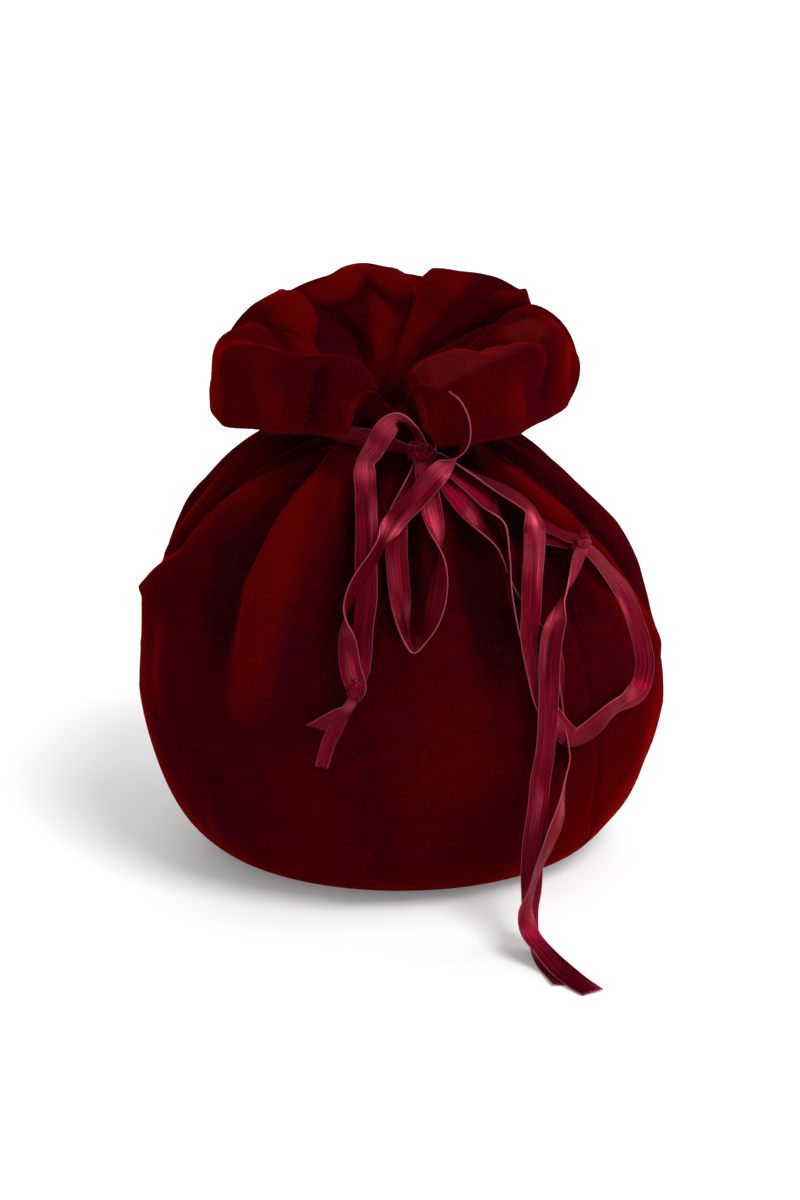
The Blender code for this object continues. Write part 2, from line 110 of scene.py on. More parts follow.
def bag_section(z):
    """Half width and half depth at a height. Below the belly: base + (belly - base) times
    sqrt(1 - t squared), with t from 1 at the base to 0 at the belly. Above it: neck +
    (belly - neck) times (1 - t squared) to the power of the fullness."""
    z = np.asarray(z, dtype=float)
    t = 1.0 - np.clip(z, 0.0, BELLY_HEIGHT) / BELLY_HEIGHT
    swell = np.sqrt(1.0 - t * t)
    u = np.clip((z - BELLY_HEIGHT) / (SHOULDER - BELLY_HEIGHT), 0.0, 1.0)
    halves = []
    for base, belly, full in ((BASE_HALF_WIDTH, BELLY_HALF_WIDTH, SIDE_FULLNESS),
                              (BASE_HALF_DEPTH, BELLY_HALF_DEPTH, FRONT_FULLNESS)):
        low = base + (belly - base) * swell
        high = NECK_RADIUS + (belly - NECK_RADIUS) * (1.0 - u * u) ** full
        halves.append(np.where(z <= BELLY_HEIGHT, low, high))
    return halves


def lean(z):
    """Sideways sag of the slack shoulder: a sine hump between the belly and the neck."""
    t = np.clip((z - BELLY_HEIGHT) / (SHOULDER - BELLY_HEIGHT), 0.0, 1.0)
    return SHOULDER_LEAN * np.sin(np.pi * t ** 2.2)


def bag_point(angle, z, off=0.0):
    """Points off the smooth bag along its normal, and that normal. The normal is level
    below the belly and tilts up with the shoulder above it."""
    angle, z, off = np.broadcast_arrays(*(np.asarray(v, dtype=float) for v in (angle, z, off)))
    a = np.radians(angle)
    wide, deep = bag_section(z)
    out = unit(np.stack([deep * np.sin(a), -wide * np.cos(a), 0.0 * a], axis=-1))
    low, high = bag_section(z - SLOPE_REACH), bag_section(z + SLOPE_REACH)
    fall = (low[0] - high[0]) * np.sin(a) ** 2 + (low[1] - high[1]) * np.cos(a) ** 2
    slope = np.arctan(fall / (2.0 * SLOPE_REACH))
    tilt = np.where((z > BELLY_HEIGHT) & (z < NECK_HEIGHT), slope, 0.0)
    face = out * np.cos(tilt)[..., None]
    face[..., 2] += np.sin(tilt)
    place = np.stack([wide * np.sin(a) + lean(z), -deep * np.cos(a), z], axis=-1)
    return place + face * off[..., None], face


def row_point(row):
    """Place and facing of a row, or of rows: angle in degrees, height and stand-off in mm."""
    row = np.asarray(row, dtype=float)
    return bag_point(row[..., 0], row[..., 1] / 1000.0, row[..., 2] / 1000.0)


print("belly half width", float(bag_section(0.06)[0]), "neck half width", float(bag_section(0.15)[0]))

# %% [markdown]
# ## The ribbons' routes
# Each row is an angle in degrees from the front, a height in mm and a stand-off in mm. The
# rows follow the ribbon as it is seen in the photograph: out of the tie, over its neighbours
# with a millimetre or so between them, down the velvet, and out over the floor.

# %% Routes, from the tie outwards
RIBBON_NECK = tuple((angle, 151.6, off) for angle, off in (
    (13, 11.5), (8, 10), (2, 7), (-6, 3.4), (-17, 1.4), (-40, 1), (-70, 1), (-100, 1), (-130, 1),
    (-160, 1), (-190, 1), (-220, 1), (-250, 1), (-280, 1), (-305, 1)))
LEFT_FRONT = (
    (11, 146, 8), (10.5, 155, 13), (5, 162, 16.4), (-1, 165, 19), (-6, 161.5, 19.6),
    (-10.5, 155, 17.6), (-10, 141, 11), (-7.5, 135, 4.4), (-6, 128.5, 2.6), (-5.5, 120.5, 2.2),
    (-5.5, 110.5, 2.2), (-6.5, 102.5, 2.6), (-7.5, 92.5, 3.2), (-8.5, 84, 3.6))
LEFT_BACK = (
    (17, 176, 27.4), (19.5, 173.5, 30), (22.5, 167, 29), (23.5, 159, 26), (21, 151.6, 20.5),
    (14, 138.5, 10.5), (7, 134, 7.6), (3.5, 131.5, 6.2), (0, 127.5, 5.2), (-3.5, 121, 4.8),
    (-7, 115, 4.6), (-9.5, 109, 4.4), (-10.5, 103.5, 4.4), (-10, 97, 4.6), (-9.5, 90, 5),
    (-8.5, 84, 5.6))
BOW_LOOP = (
    (11, 145.5, 5), (8, 142, 4), (5, 137.5, 3), (3, 132.5, 2.2), (2.5, 126, 1.8),
    (2.5, 119.5, 1.4), (2.5, 110.5, 1.4), (2.5, 103.5, 1.4), (3, 98, 1.6), (4, 95.5, 2),
    (5.5, 97, 2.4), (8.5, 102.5, 2.6), (11, 109.5, 2.6), (13, 116.5, 2.4), (14, 121.5, 2.4),
    (14, 128, 2.8), (13, 133.5, 3.6), (12, 138.5, 5), (11, 142, 6.6), (11, 146, 8))
SHORT_TAIL = (
    (11, 145.5, 3.6), (17, 142.5, 2.4), (21.5, 138, 2), (25, 133.5, 1.8), (28, 128, 1.6),
    (30.5, 123, 1.2), (31, 118.5, 1.2), (31, 113, 1.2), (32.5, 106, 1.2), (36, 98, 1.2))
RIGHT_STRAND = (
    (11, 145.5, 5.6), (18, 143.5, 4.6), (24, 140.5, 4.2), (29.5, 136.5, 3.8), (33.5, 131, 3.4),
    (34.5, 126, 3), (32, 119.5, 2.8), (30, 113, 2.6), (29, 106, 2.6), (29, 98.5, 2.6),
    (30.5, 93, 2.6))
RIGHT_LOOP = (
    (11, 145.5, 7.6), (19.5, 144, 6.8), (26, 141, 6.4), (34, 137, 6), (40.5, 133, 5.6),
    (44, 129.5, 5.4), (43.5, 126, 5.2), (40, 120, 5), (35.5, 111.5, 4.8), (32.5, 103.5, 4.6),
    (30, 95.5, 4.6), (29.5, 87, 4.6), (30, 79.5, 4.6), (32, 72.5, 4.4), (35, 66, 4), (38, 62.5, 3.6),
    (43, 63.5, 3), (50, 67.5, 2.8), (59.5, 69.5, 2.8), (63.5, 74, 2.8), (65, 80, 2.8),
    (65, 89, 2.8), (64.5, 99, 3), (61.5, 107.5, 3.4), (59.5, 112.5, 3.8), (56, 117, 4.4))
UPPER_1 = ((45, 127, 2.6), (47.5, 125, 2.8), (49.5, 123, 3.4), (52.5, 120, 4.4), (56, 117, 5.6))
UPPER_2 = ((43, 123, 1.2), (46, 122, 1.2), (49, 120.5, 1.6), (52.5, 118.5, 2.4), (57, 117, 3.2))
TAIL_1 = (
    (51.5, 113.5, 5), (46, 109, 5.4), (41, 104.5, 6), (37, 99, 6.6),
    (34.5, 94.5, 7), (32.5, 87.5, 7.2), (31.5, 80.5, 7.2), (30.5, 71.5, 7), (29.5, 61.5, 7.6),
    (28, 54, 9.8), (27, 44.5, 12.8), (26, 35, 16.4), (25.5, 27, 20.4), (25.5, 19, 25),
    (25.5, 12.5, 30), (26, 6.5, 38), (26.5, 2.2, 49), (27, 0.8, 60.5), (27, 0.8, 73))
TAIL_2 = (
    (52, 113.5, 2.8), (46.5, 108.5, 3), (41, 103.5, 3.4), (38, 99.5, 3.6),
    (37, 94, 3.4), (37, 86, 2.6), (36.5, 78, 2), (36.5, 70, 1.6), (37, 62, 1.6), (37, 56, 2.4),
    (35, 50, 6.5), (31.5, 43, 14.6), (28, 35, 20.8), (25.5, 28, 25), (24, 20.5, 29.6),
    (23, 15, 34.5), (23.5, 9.6, 42), (25.5, 5.4, 51.5), (27, 3, 61.5), (28.5, 1.6, 72),
    (30, 0.8, 81))
LEFT_END_1 = ((-10, 78.5, 4.4), (-13, 75, 3.2), (-17, 70, 2.2))
LEFT_END_2 = ((-10.5, 77.5, 2.4), (-13.5, 69.5, 1.6), (-15, 64.5, 1.2), (-16.5, 56.5, 1.2))
BOW_KNOT_AT = (11.0, 145.5, 6.4)
LEFT_KNOT_AT = (-8.5, 84.0, 4.6)
RIGHT_KNOT_AT = (56.0, 117.0, 4.6)
print("knots at", BOW_KNOT_AT, LEFT_KNOT_AT, RIGHT_KNOT_AT)

# %% [markdown]
# ## From a route to a flat ribbon
# A satin ribbon is a strip 7 mm wide and about half a millimetre thick that bends easily but
# keeps its width. It could be a curve with a flat bevel, but a curve twists as it likes. Here
# the strip is a grid: one direction runs along a smooth curve through the places that the
# route's rows give, and the other round a flat cross-section with rounded edges. A list of
# turns says how far the strip is twisted out of the velvet's plane on the way, and another
# where it is pinched.

# %% A smooth curve through rows, and even steps along it
LIFT_OFF = 26.0  # stand-off in mm from which a ribbon below the belly turns to face up


def smooth_rows(rows, fine=24):
    """A Catmull-Rom curve: between two rows each value is a cubic in t, with slopes that
    are half the step between the row before and the row after."""
    rows = np.array(rows, dtype=float)
    keys = np.vstack([2 * rows[0] - rows[1], rows, 2 * rows[-1] - rows[-2]])
    t = (np.arange(fine) / fine)[None, :, None]
    p0, p1, p2, p3 = (keys[i:len(keys) - 3 + i][:, None, :] for i in range(4))
    bend = (2 * p0 - 5 * p1 + 4 * p2 - p3) * t * t + (3 * p1 - p0 - 3 * p2 + p3) * t ** 3
    curve = 0.5 * (2 * p1 + (p2 - p0) * t + bend)
    return np.vstack([curve.reshape(-1, rows.shape[1]), rows[-1:]])


def along_route(rows, pitch=0.0006):
    """Points, facings and run lengths at even steps along a route. The rows become places
    and facings first, and the smooth curve runs through those, so that it doesn't bulge
    where the bag's normal tilts quickly, as it does below the neck."""
    rows = np.array(rows, dtype=float)
    points, faces = row_point(rows)
    up = smooth(rows[:, 2:] / LIFT_OFF - 1.0) * (rows[:, 1:2] / 1000.0 < BELLY_HEIGHT)
    faces = faces * (1.0 - up) + np.array([0.0, 0.0, 1.0]) * up
    track = smooth_rows(np.column_stack([points, faces]))
    run = np.concatenate([[0.0], np.cumsum(np.linalg.norm(np.diff(track[:, :3], axis=0), axis=1))])
    even = np.linspace(0.0, run[-1], max(8, round(run[-1] / pitch)) + 1)
    track = np.stack([np.interp(even, run, column) for column in track.T], axis=1)
    return track[:, :3], unit(track[:, 3:]), even


# %% A grid of points as a closed mesh
def put_mesh(name, points, faces):
    """An object from an array of points and lists of corner numbers."""
    mesh = bpy.data.meshes.new(name)
    mesh.from_pydata(points.reshape(-1, 3).tolist(), [], faces)
    mesh.shade_smooth()
    return add(name, mesh)


def face_outwards(item):
    """Turn a closed mesh round if its faces point inwards. They do where the sum of
    a . (b x c) over its triangles, which is six times its signed volume, is below 0."""
    mesh = item.data
    mesh.calc_loop_triangles()
    places = np.empty(len(mesh.vertices) * 3)
    mesh.vertices.foreach_get("co", places)
    corners = np.empty(len(mesh.loop_triangles) * 3, dtype=np.int64)
    mesh.loop_triangles.foreach_get("vertices", corners)
    a, b, c = (places.reshape(-1, 3)[corners.reshape(-1, 3)[:, k]] for k in range(3))
    if np.einsum("ij,ij->i", a, np.cross(b, c)).sum() < 0.0:
        mesh.flip_normals()


def put_grid(name, grid, across=None, along=None, looped=False, **marks):
    """A closed object from a grid of points (rows, columns, 3). Its columns join round. Its
    first and last rows are capped, or joined too if looped. across and along are the map
    coordinates of its columns and rows, and marks are its attributes by name."""
    n, m = grid.shape[:2]
    i, j = np.arange(n - 1 + looped)[:, None] * m, np.arange(m)[None, :]
    k = (j + 1) % m
    quads = np.stack([i + j, i + k, i + m + k, i + m + j], axis=-1).reshape(-1, 4)
    caps = [] if looped else [list(range(m - 1, -1, -1)), list(range((n - 1) * m, n * m))]
    item = put_mesh(name, grid, (quads % (n * m)).tolist() + caps)
    if across is not None:
        corners = np.concatenate([quads.ravel(), np.array(caps, dtype=int).ravel()])
        uv = np.stack([across[corners % m], along[corners // m]], axis=-1)
        layer = item.data.uv_layers.new(name="UVMap")
        layer.data.foreach_set("uv", uv.astype(np.float32).ravel())
    for label, values in marks.items():
        mark = item.data.attributes.new(label, "FLOAT", "POINT")
        mark.data.foreach_set("value", values.astype(np.float32).ravel())
    face_outwards(item)
    return item


# %% The strip itself
RIBBON_WIDTH, RIBBON_THICK = 0.0070, 0.00042
# Across the ribbon, from -1 to 1, and the half thickness there as a share of the whole.
UPPER = [(-1.0, 0.0), (-0.985, 0.8), (-0.93, 1.25), (-0.86, 1.0), (-0.5, 0.95), (0.0, 1.0),
         (0.5, 0.95), (0.86, 1.0), (0.93, 1.25), (0.985, 0.8), (1.0, 0.0)]
PROFILE = np.array(UPPER + [(u, -v) for u, v in UPPER[-2:0:-1]])
# Radians to the metre by which a facing turns where a bend's painted highlight starts, and the rise to 1.
BEND_FROM, BEND_SPAN = 50.0, 130.0
CUT = 0.006  # length of the stretch that a slanted cut pulls along


def softened(values, reach=9):
    """Values at even steps, each averaged with its neighbours under a bell."""
    bell = np.hanning(2 * reach + 1)
    return np.convolve(np.pad(values, reach, mode="edge"), bell / bell.sum(), mode="valid")


def ribbon(name, rows, turns, pinch, cup, slant, seed):
    """A strip along a route. At a share s of its length its facing is turned about the
    path by turns(s) degrees, its width is scaled by pinch(s), and cup bends its middle
    up by that share of its width. slant cuts the far end at an angle. The attribute bend
    is 1 where the facing turns fastest: 180 radians to the metre or more."""
    points, faces, run = along_route(rows)
    s = run / run[-1]
    path = unit(np.gradient(points, axis=0))
    across = unit(np.cross(path, faces))
    faces = np.cross(across, path)
    turn = softened(np.radians(read_off(s, turns)))
    turn += 0.05 * np.sin(run * 190.0 + seed) + 0.04 * np.sin(run * 83.0 + 2.0 * seed)
    c, w = np.cos(turn)[:, None], np.sin(turn)[:, None]
    across, faces = across * c + faces * w, faces * c - across * w
    width = RIBBON_WIDTH / 2.0 * read_off(s, pinch)[:, None]
    u, v = PROFILE.T
    ripple = 0.00012 * np.sin(run * 310.0 + seed)[:, None] * np.sin(2.2 * u + seed)
    sag = cup * RIBBON_WIDTH * (1.0 - u * u) + ripple
    grid = points[:, None, :] + across[:, None, :] * (width * u)[..., None]
    grid += faces[:, None, :] * (sag + RIBBON_THICK / 2.0 * v)[..., None]
    shift = slant * width * u * smooth((run - run[-1] + CUT) / CUT)[:, None]
    grid += path[:, None, :] * shift[..., None]
    # bend places the satin's painted highlight
    bend = softened(np.linalg.norm(np.gradient(faces, axis=0), axis=1) / np.gradient(run))
    bend = np.repeat(smooth((bend - BEND_FROM) / BEND_SPAN), len(u))
    return put_grid(name, grid, u * 0.5 + 0.5, run, bend=bend), points, float(run[-1])


# %% [markdown]
# ## Tying the ribbons
# Two ribbons run through the neck. Their ends leave the bow at the front: a loop that stands
# up over the tie and falls to the left knot, a wide band that crosses it, a long narrow loop,
# and on the right a short tail, a strand, and a big loop that runs to a second knot and out
# over the floor. Each is one strip of the length that the photograph shows. The strips
# turn edge on where the photograph shows them thin.

# %% The ribbons, as strips
CORDS = (
    ("satin_neck_ribbon", RIBBON_NECK, ("ribbon_neck",), "knot",
     ((0, 0), (0.05, 20), (0.12, 0), (1, 0)), ((0, 0.45), (0.05, 0.6), (0.12, 1), (1, 1)), 0.0),
    ("satin_left_front", LEFT_FRONT + LEFT_END_1, ("ribbon_left_front", "left_end_1"), "bare",
     ((0, 30), (0.06, 60), (0.13, 74), (0.17, 24), (0.21, -22), (0.3, -24), (0.36, 30), (0.42, 0), (0.6, 6),
      (0.7, -12), (0.78, 4), (0.88, 40), (1, 14)),
     ((0, 0.35), (0.04, 0.6), (0.12, 1), (0.8, 1), (0.86, 0.5), (0.9, 0.5), (1, 0.95)), 0.5),
    ("satin_left_back", LEFT_BACK + LEFT_END_2, ("ribbon_left_back", "left_end_2"), "bare",
     ((0, 86), (0.1, 84), (0.15, 74), (0.2, 46), (0.26, 14), (0.36, -6), (0.41, 10), (0.43, 72),
      (0.49, 68), (0.55, 58), (0.6, 66), (0.63, 98), (0.67, 150), (0.74, 176), (0.8, 180), (0.9, 200),
      (1, 176)),
     ((0, 0.4), (0.1, 0.8), (0.18, 1), (0.78, 1), (0.82, 0.5), (0.86, 0.5), (0.9, 0.7), (1, 0.6)), -0.2),
    ("satin_bow_loop", BOW_LOOP, ("ribbon_bow_loop",), "knot",
     ((0, 40), (0.08, 60), (0.13, 50), (0.2, -6), (0.36, 6), (0.43, 56), (0.49, 86), (0.55, 62), (0.62, 34),
      (0.68, 50), (0.73, 92), (0.79, 148), (0.85, 176), (1, 180)),
     ((0, 0.4), (0.1, 0.9), (0.2, 1), (0.9, 1), (0.95, 0.8), (1, 0.45)), 0.0),
    ("satin_short_tail", SHORT_TAIL, ("ribbon_short_tail",), "bare",
     ((0, 10), (0.15, -10), (0.3, -24), (0.45, 40), (0.6, 70), (0.75, 74), (1, 50)),
     ((0, 0.35), (0.15, 0.8), (0.3, 1), (0.45, 0.9), (0.62, 0.6), (0.8, 0.5), (1, 0.6)), 0.3),
    ("satin_right_strand", RIGHT_STRAND, ("ribbon_right_strand",), "bare",
     ((0, 0), (0.2, 10), (0.36, 6), (0.44, 62), (0.55, 78), (0.64, 86), (0.8, 74), (0.9, 60), (1, 40)),
     ((0, 0.35), (0.15, 0.75), (0.3, 1), (1, 1)), 0.3),
    ("satin_right_loop", RIGHT_LOOP, ("ribbon_right_loop",), "knot",
     ((0, 50), (0.06, 56), (0.12, 26), (0.2, 30), (0.215, -24), (0.3, -10), (0.4, 14), (0.46, 30), (0.5, 8),
      (0.56, -20), (0.62, 10), (0.68, -24), (0.72, 34), (0.8, 30), (0.92, 8), (1, 10)),
     ((0, 0.35), (0.06, 0.75), (0.14, 1), (0.9, 1), (0.96, 0.75), (1, 0.5)), 0.0),
    ("satin_tail_front", UPPER_1 + TAIL_1, ("ribbon_upper_1", "ribbon_tail_1"), "bare",
     ((0, 0), (0.09, 4), (0.15, 10), (0.19, 36), (0.235, 88), (0.28, 146), (0.34, 168), (0.5, 186),
      (0.6, 172), (0.72, 150), (0.8, 200), (0.86, 232), (0.92, 184), (1, 180)),
     ((0, 0.7), (0.06, 0.5), (0.1, 0.55), (0.14, 0.75), (0.19, 0.7), (0.235, 0.4), (0.27, 0.9),
      (0.3, 1), (1, 1)), 0.35),
    ("satin_tail_back", UPPER_2 + TAIL_2, ("ribbon_upper_2", "ribbon_tail_2"), "bare",
     ((0, 0), (0.09, 10), (0.16, 50), (0.21, 84), (0.26, 60), (0.34, 34), (0.42, 56), (0.5, 74), (0.56, 40),
      (0.64, 24), (0.75, 46), (0.84, 10), (0.92, -20), (1, 0)),
     ((0, 0.7), (0.06, 0.5), (0.1, 0.5), (0.16, 0.6), (0.21, 0.35), (0.27, 0.9), (0.34, 1), (1, 1)), -0.3),
)
CUP = 0.03
ribbons = {}
for number, (name, rows, nodes, end, turns, pinch, slant) in enumerate(CORDS):
    item, path, length = ribbon(name, rows, turns, pinch, CUP, slant, 1.7 * number)
    ribbons[name] = (item, path, length, nodes, end)
    print(name, "length", round(length * 1000), "mm, lowest", round(float(path[:, 2].min()) * 1000, 1))

# %% [markdown]
# ## Knots
# A knot in flat ribbon is the ribbon wrapped once or twice round the pinched bundle. A plain
# ball would look like a bead. So each knot is a small crumpled core with bands of ribbon wound
# over it: a band is a grid whose one direction goes round an oval and whose other goes across
# the ribbon, and its edges dip towards the bundle.

# %% Wound bands and crumpled cores
CRUMPLE = 0.00025  # depth of a band's small folds
CORE_STEP = 0.0005  # length along the satin's pattern from one row of a core to the next


def knot_frame(at):
    """Middle, side, out and up of a knot that faces away from the velvet."""
    middle, out = row_point(at)
    side = unit(np.array([-out[1], out[0], 0.0]))
    return middle, side, out, np.cross(out, side)


def wound_band(name, at, radii, tilt, width, shift):
    """A closed band of ribbon round an axis that lies in the velvet's plane, tilted by an
    angle from the side direction. A point is middle + axis times w + out times r1 cos p +
    cross times r2 sin p, and the radii shrink towards the band's edges as an arc does."""
    middle, side, out, up = knot_frame(at)
    t = math.radians(tilt)
    axis = side * math.cos(t) + up * math.sin(t)
    cross = np.cross(out, axis)
    p = np.linspace(0.0, 2.0 * np.pi, 65)[:-1][:, None]
    u, v = PROFILE.T
    fold = CRUMPLE * (np.sin(3.0 * p + 4.0 * u) + 0.6 * np.sin(7.0 * p - 3.0 * u))
    shrink = -0.22 * radii[0] * u * u + fold + RIBBON_THICK / 2.0 * v
    wave = 1.0 + 0.10 * np.sin(2.0 * p + 1.0)
    w = width / 2.0 * u * wave + shift + 0.0003 * np.sin(2.0 * p)
    grid = middle + axis * w[..., None] + out * ((radii[0] + shrink) * np.cos(p))[..., None]
    grid = grid + cross * ((radii[1] + shrink) * np.sin(p))[..., None]
    step = np.pi * (radii[0] + radii[1]) / len(p)
    return put_grid(name, grid, u * 0.5 + 0.5, np.arange(len(p) + 1) * step, looped=True)


def crumpled_core(name, at, radii, seed):
    """A small closed lump: an oval whose radius carries ridges that run over it."""
    middle, side, out, up = knot_frame(at)
    a = np.linspace(0.0, 2.0 * np.pi, 49)[:-1][None, :]
    b = np.linspace(0.02, np.pi - 0.02, 25)[:, None]
    r = 1.0 + 0.07 * np.sin(5.0 * a + 3.0 * b + seed) + 0.05 * np.sin(9.0 * a - 4.0 * b + seed)
    x, y, z = r * np.sin(b) * np.cos(a), r * np.sin(b) * np.sin(a), r * np.cos(b)
    grid = middle + side * (radii[0] * x)[..., None] + out * (radii[1] * y)[..., None]
    grid = grid + up * (radii[2] * z)[..., None]
    return put_grid(name, grid, np.arange(a.size) / a.size, np.arange(b.size) * CORE_STEP)


# %% Three knots
knots = {}
for name, at, radii, bands, node in (
    ("bow", BOW_KNOT_AT, (0.0046, 0.0038, 0.0042),
     ((28.0, 0.0034, 0.0037, 0.0052, 0.0), (-38.0, 0.0030, 0.0034, 0.0040, -0.0022)), "bow_knot"),
    ("left", LEFT_KNOT_AT, (0.0026, 0.0024, 0.0036),
     ((72.0, 0.0024, 0.0026, 0.0040, 0.0006), (-50.0, 0.0022, 0.0026, 0.0030, -0.0012)), "left_knot"),
    ("right", RIGHT_KNOT_AT, (0.0042, 0.0024, 0.0024),
     ((-24.0, 0.0023, 0.0022, 0.0044, -0.0006), (34.0, 0.0022, 0.0021, 0.0030, 0.0018)), "right_knot"),
):
    parts = [crumpled_core(name + "_knot_core", at, radii, len(name))]
    for number, (tilt, r1, r2, wide, shift) in enumerate(bands):
        parts.append(wound_band(name + "_knot_band_%d" % (number + 1), at, (r1, r2), tilt, wide, shift))
    knots[name] = (parts, node)
    print(name, "knot: pieces", len(parts))

for name, (item, path, length, nodes, end) in ribbons.items():
    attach(item, "root")
held = {"satin_bow_loop": "bow", "satin_left_front": "left", "satin_right_loop": "right"}
for name, (item, path, length, nodes, end) in ribbons.items():
    parts, node = knots[held[name]] if name in held else ([], None)
    for part in parts:
        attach(part, "root")
        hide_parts(node)
    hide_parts(*nodes)
    route = [tuple(p) for p in path[::6].tolist() + path[-1:].tolist()]
print("cords declared:", len(ribbons), "total length", round(sum(r[2] for r in ribbons.values()), 3), "m")

# %% [markdown]
# ## The velvet bag: one closed surface
# The bag is one surface from the patch it rests on, up the belly and shoulder to the tie, up the
# outside of the ruffle, over the rim, and down the inside of the funnel to the gathered throat.
# Cloth simulation could drape it, but the photographed folds have known places, so they are
# written down instead: the smooth shape first, then the ruffle's petals, then every fold as
# a crest line with a height and two flank widths. A steep flank beside a wide one reads as
# cloth that laps over.

# %% The ruffle's petals
CLOTH = 0.0024
THROAT_X, THROAT_WIDE, THROAT_RISE, THROAT_DROP = -0.0070, 0.0040, 0.0045, 0.0140
# Angle, cloth length in mm, slope at the tie, slope at the rim, where it turns, how slowly.
RUFFLE_FOLDS = np.array((
    (-164, 45, 61, 5, 0.70, 0.4), (-148, 38, 65, 20, 0.72, 0.4), (-132, 42, 60, -5, 0.68, 0.4),
    (-118, 44, 64, -10, 0.68, 0.4), (-104, 54, 49, -60, 0.62, 0.4), (-90, 64, 43, -86, 0.61, 0.36),
    (-74, 66, 42, -90, 0.61, 0.26), (-58, 60, 49, -92, 0.59, 0.20), (-44, 56, 55, -88, 0.58, 0.18),
    (-32, 53, 62, -84, 0.56, 0.18), (-25, 47, 68, -78, 0.55, 0.20), (-21, 38, 74, -56, 0.55, 0.3),
    (-17, 18, 86, 20, 0.60, 0.4), (-13, 7, 95, 80, 0.60, 0.4), (-4, 5, 97, 80, 0.60, 0.4),
    (3, 7, 95, 75, 0.60, 0.4), (7, 20, 86, 15, 0.60, 0.4), (11, 40, 76, -60, 0.54, 0.3),
    (18, 52, 68, -82, 0.52, 0.22), (31, 57, 60, -88, 0.55, 0.20), (49, 60, 54, -90, 0.58, 0.20),
    (67, 60, 49, -92, 0.61, 0.22), (84, 60, 48, -88, 0.61, 0.24), (101, 52, 54, -60, 0.66, 0.4),
    (113, 38, 66, 10, 0.72, 0.4), (125, 40, 64, 10, 0.72, 0.4), (141, 41, 63, 15, 0.72, 0.4),
    (155, 36, 71, 40, 0.76, 0.4), (170, 39, 61, 10, 0.72, 0.4), (183, 36, 70, 30, 0.75, 0.4)), dtype=float)


def petals(angle):
    """Length in m, slope at the tie, slope at the rim, turning place and slowness of the
    turn at each angle, eased between the rows either side of it."""
    rows = np.vstack([RUFFLE_FOLDS, RUFFLE_FOLDS[:1] + np.array([360.0, 0, 0, 0, 0, 0])])
    a = (angle - rows[0, 0]) % 360.0 + rows[0, 0]
    i = np.clip(np.searchsorted(rows[:, 0], a, side="right") - 1, 0, len(rows) - 2)
    t = smooth((a - rows[i, 0]) / (rows[i + 1, 0] - rows[i, 0]))[:, None]
    value = rows[i, 1:] * (1.0 - t) + rows[i + 1, 1:] * t
    return (value[:, 0] / 1000.0, *value[:, 1:].T)


def ruffle_paths(angle, count, fine=4):
    """Radius and height along the middle of the cloth at each angle. The slope eases
    from its start to its end value, and radius and height are its running sums."""
    length, start, end, turn, slow = (v[:, None] for v in petals(angle))
    t = (np.arange(count * fine) + 0.5)[None, :] / (count * fine)
    slope = np.radians(start + (end - start) * smooth((t - turn) / slow + 0.5))
    step = length / (count * fine)
    r = NECK_RADIUS - CLOTH / 2.0 + np.cumsum(np.cos(slope) * step, axis=1)
    z = NECK_HEIGHT + TIE_HEIGHT / 2.0 + np.cumsum(np.sin(slope) * step, axis=1)
    pick = slice(fine - 1, None, fine)
    first = np.ones((len(angle), 1))
    r = np.hstack([first * (NECK_RADIUS - CLOTH / 2.0), r[:, pick]])
    z = np.hstack([first * (NECK_HEIGHT + TIE_HEIGHT / 2.0), z[:, pick]])
    return r.T, z.T


probe = petals(np.array([-50.0, 0.0, 50.0]))
print("cloth above the tie, mm", np.round(probe[0] * 1000), "rim slopes", np.round(probe[2]))

# %% The gathers and folds of the bag
GATHERS = 19
# Furrows: angle at the neck, angle at the lower end, height there, depth and half width, in
# degrees and mm.
FURROWS = (
    (-64, -78, 58, 3.0, 11), (-44, -62, 84, 3.0, 10), (-13, -17, 88, 3.2, 8), (4, 2, 98, 3.4, 8),
    (19, 24, 92, 3.4, 8), (37, 47, 84, 3.4, 9), (58, 63, 100, 2.0, 9), (82, 76, 78, 3.0, 11),
    (104, 98, 66, 4.4, 11), (128, 122, 80, 4.6, 11), (151, 150, 66, 4.0, 10), (174, 178, 84, 4.4, 11),
    (-160, -154, 70, 4.2, 10), (-136, -130, 82, 4.4, 11), (-110, -104, 72, 4.4, 11), (-88, -93, 88, 3.4, 9))
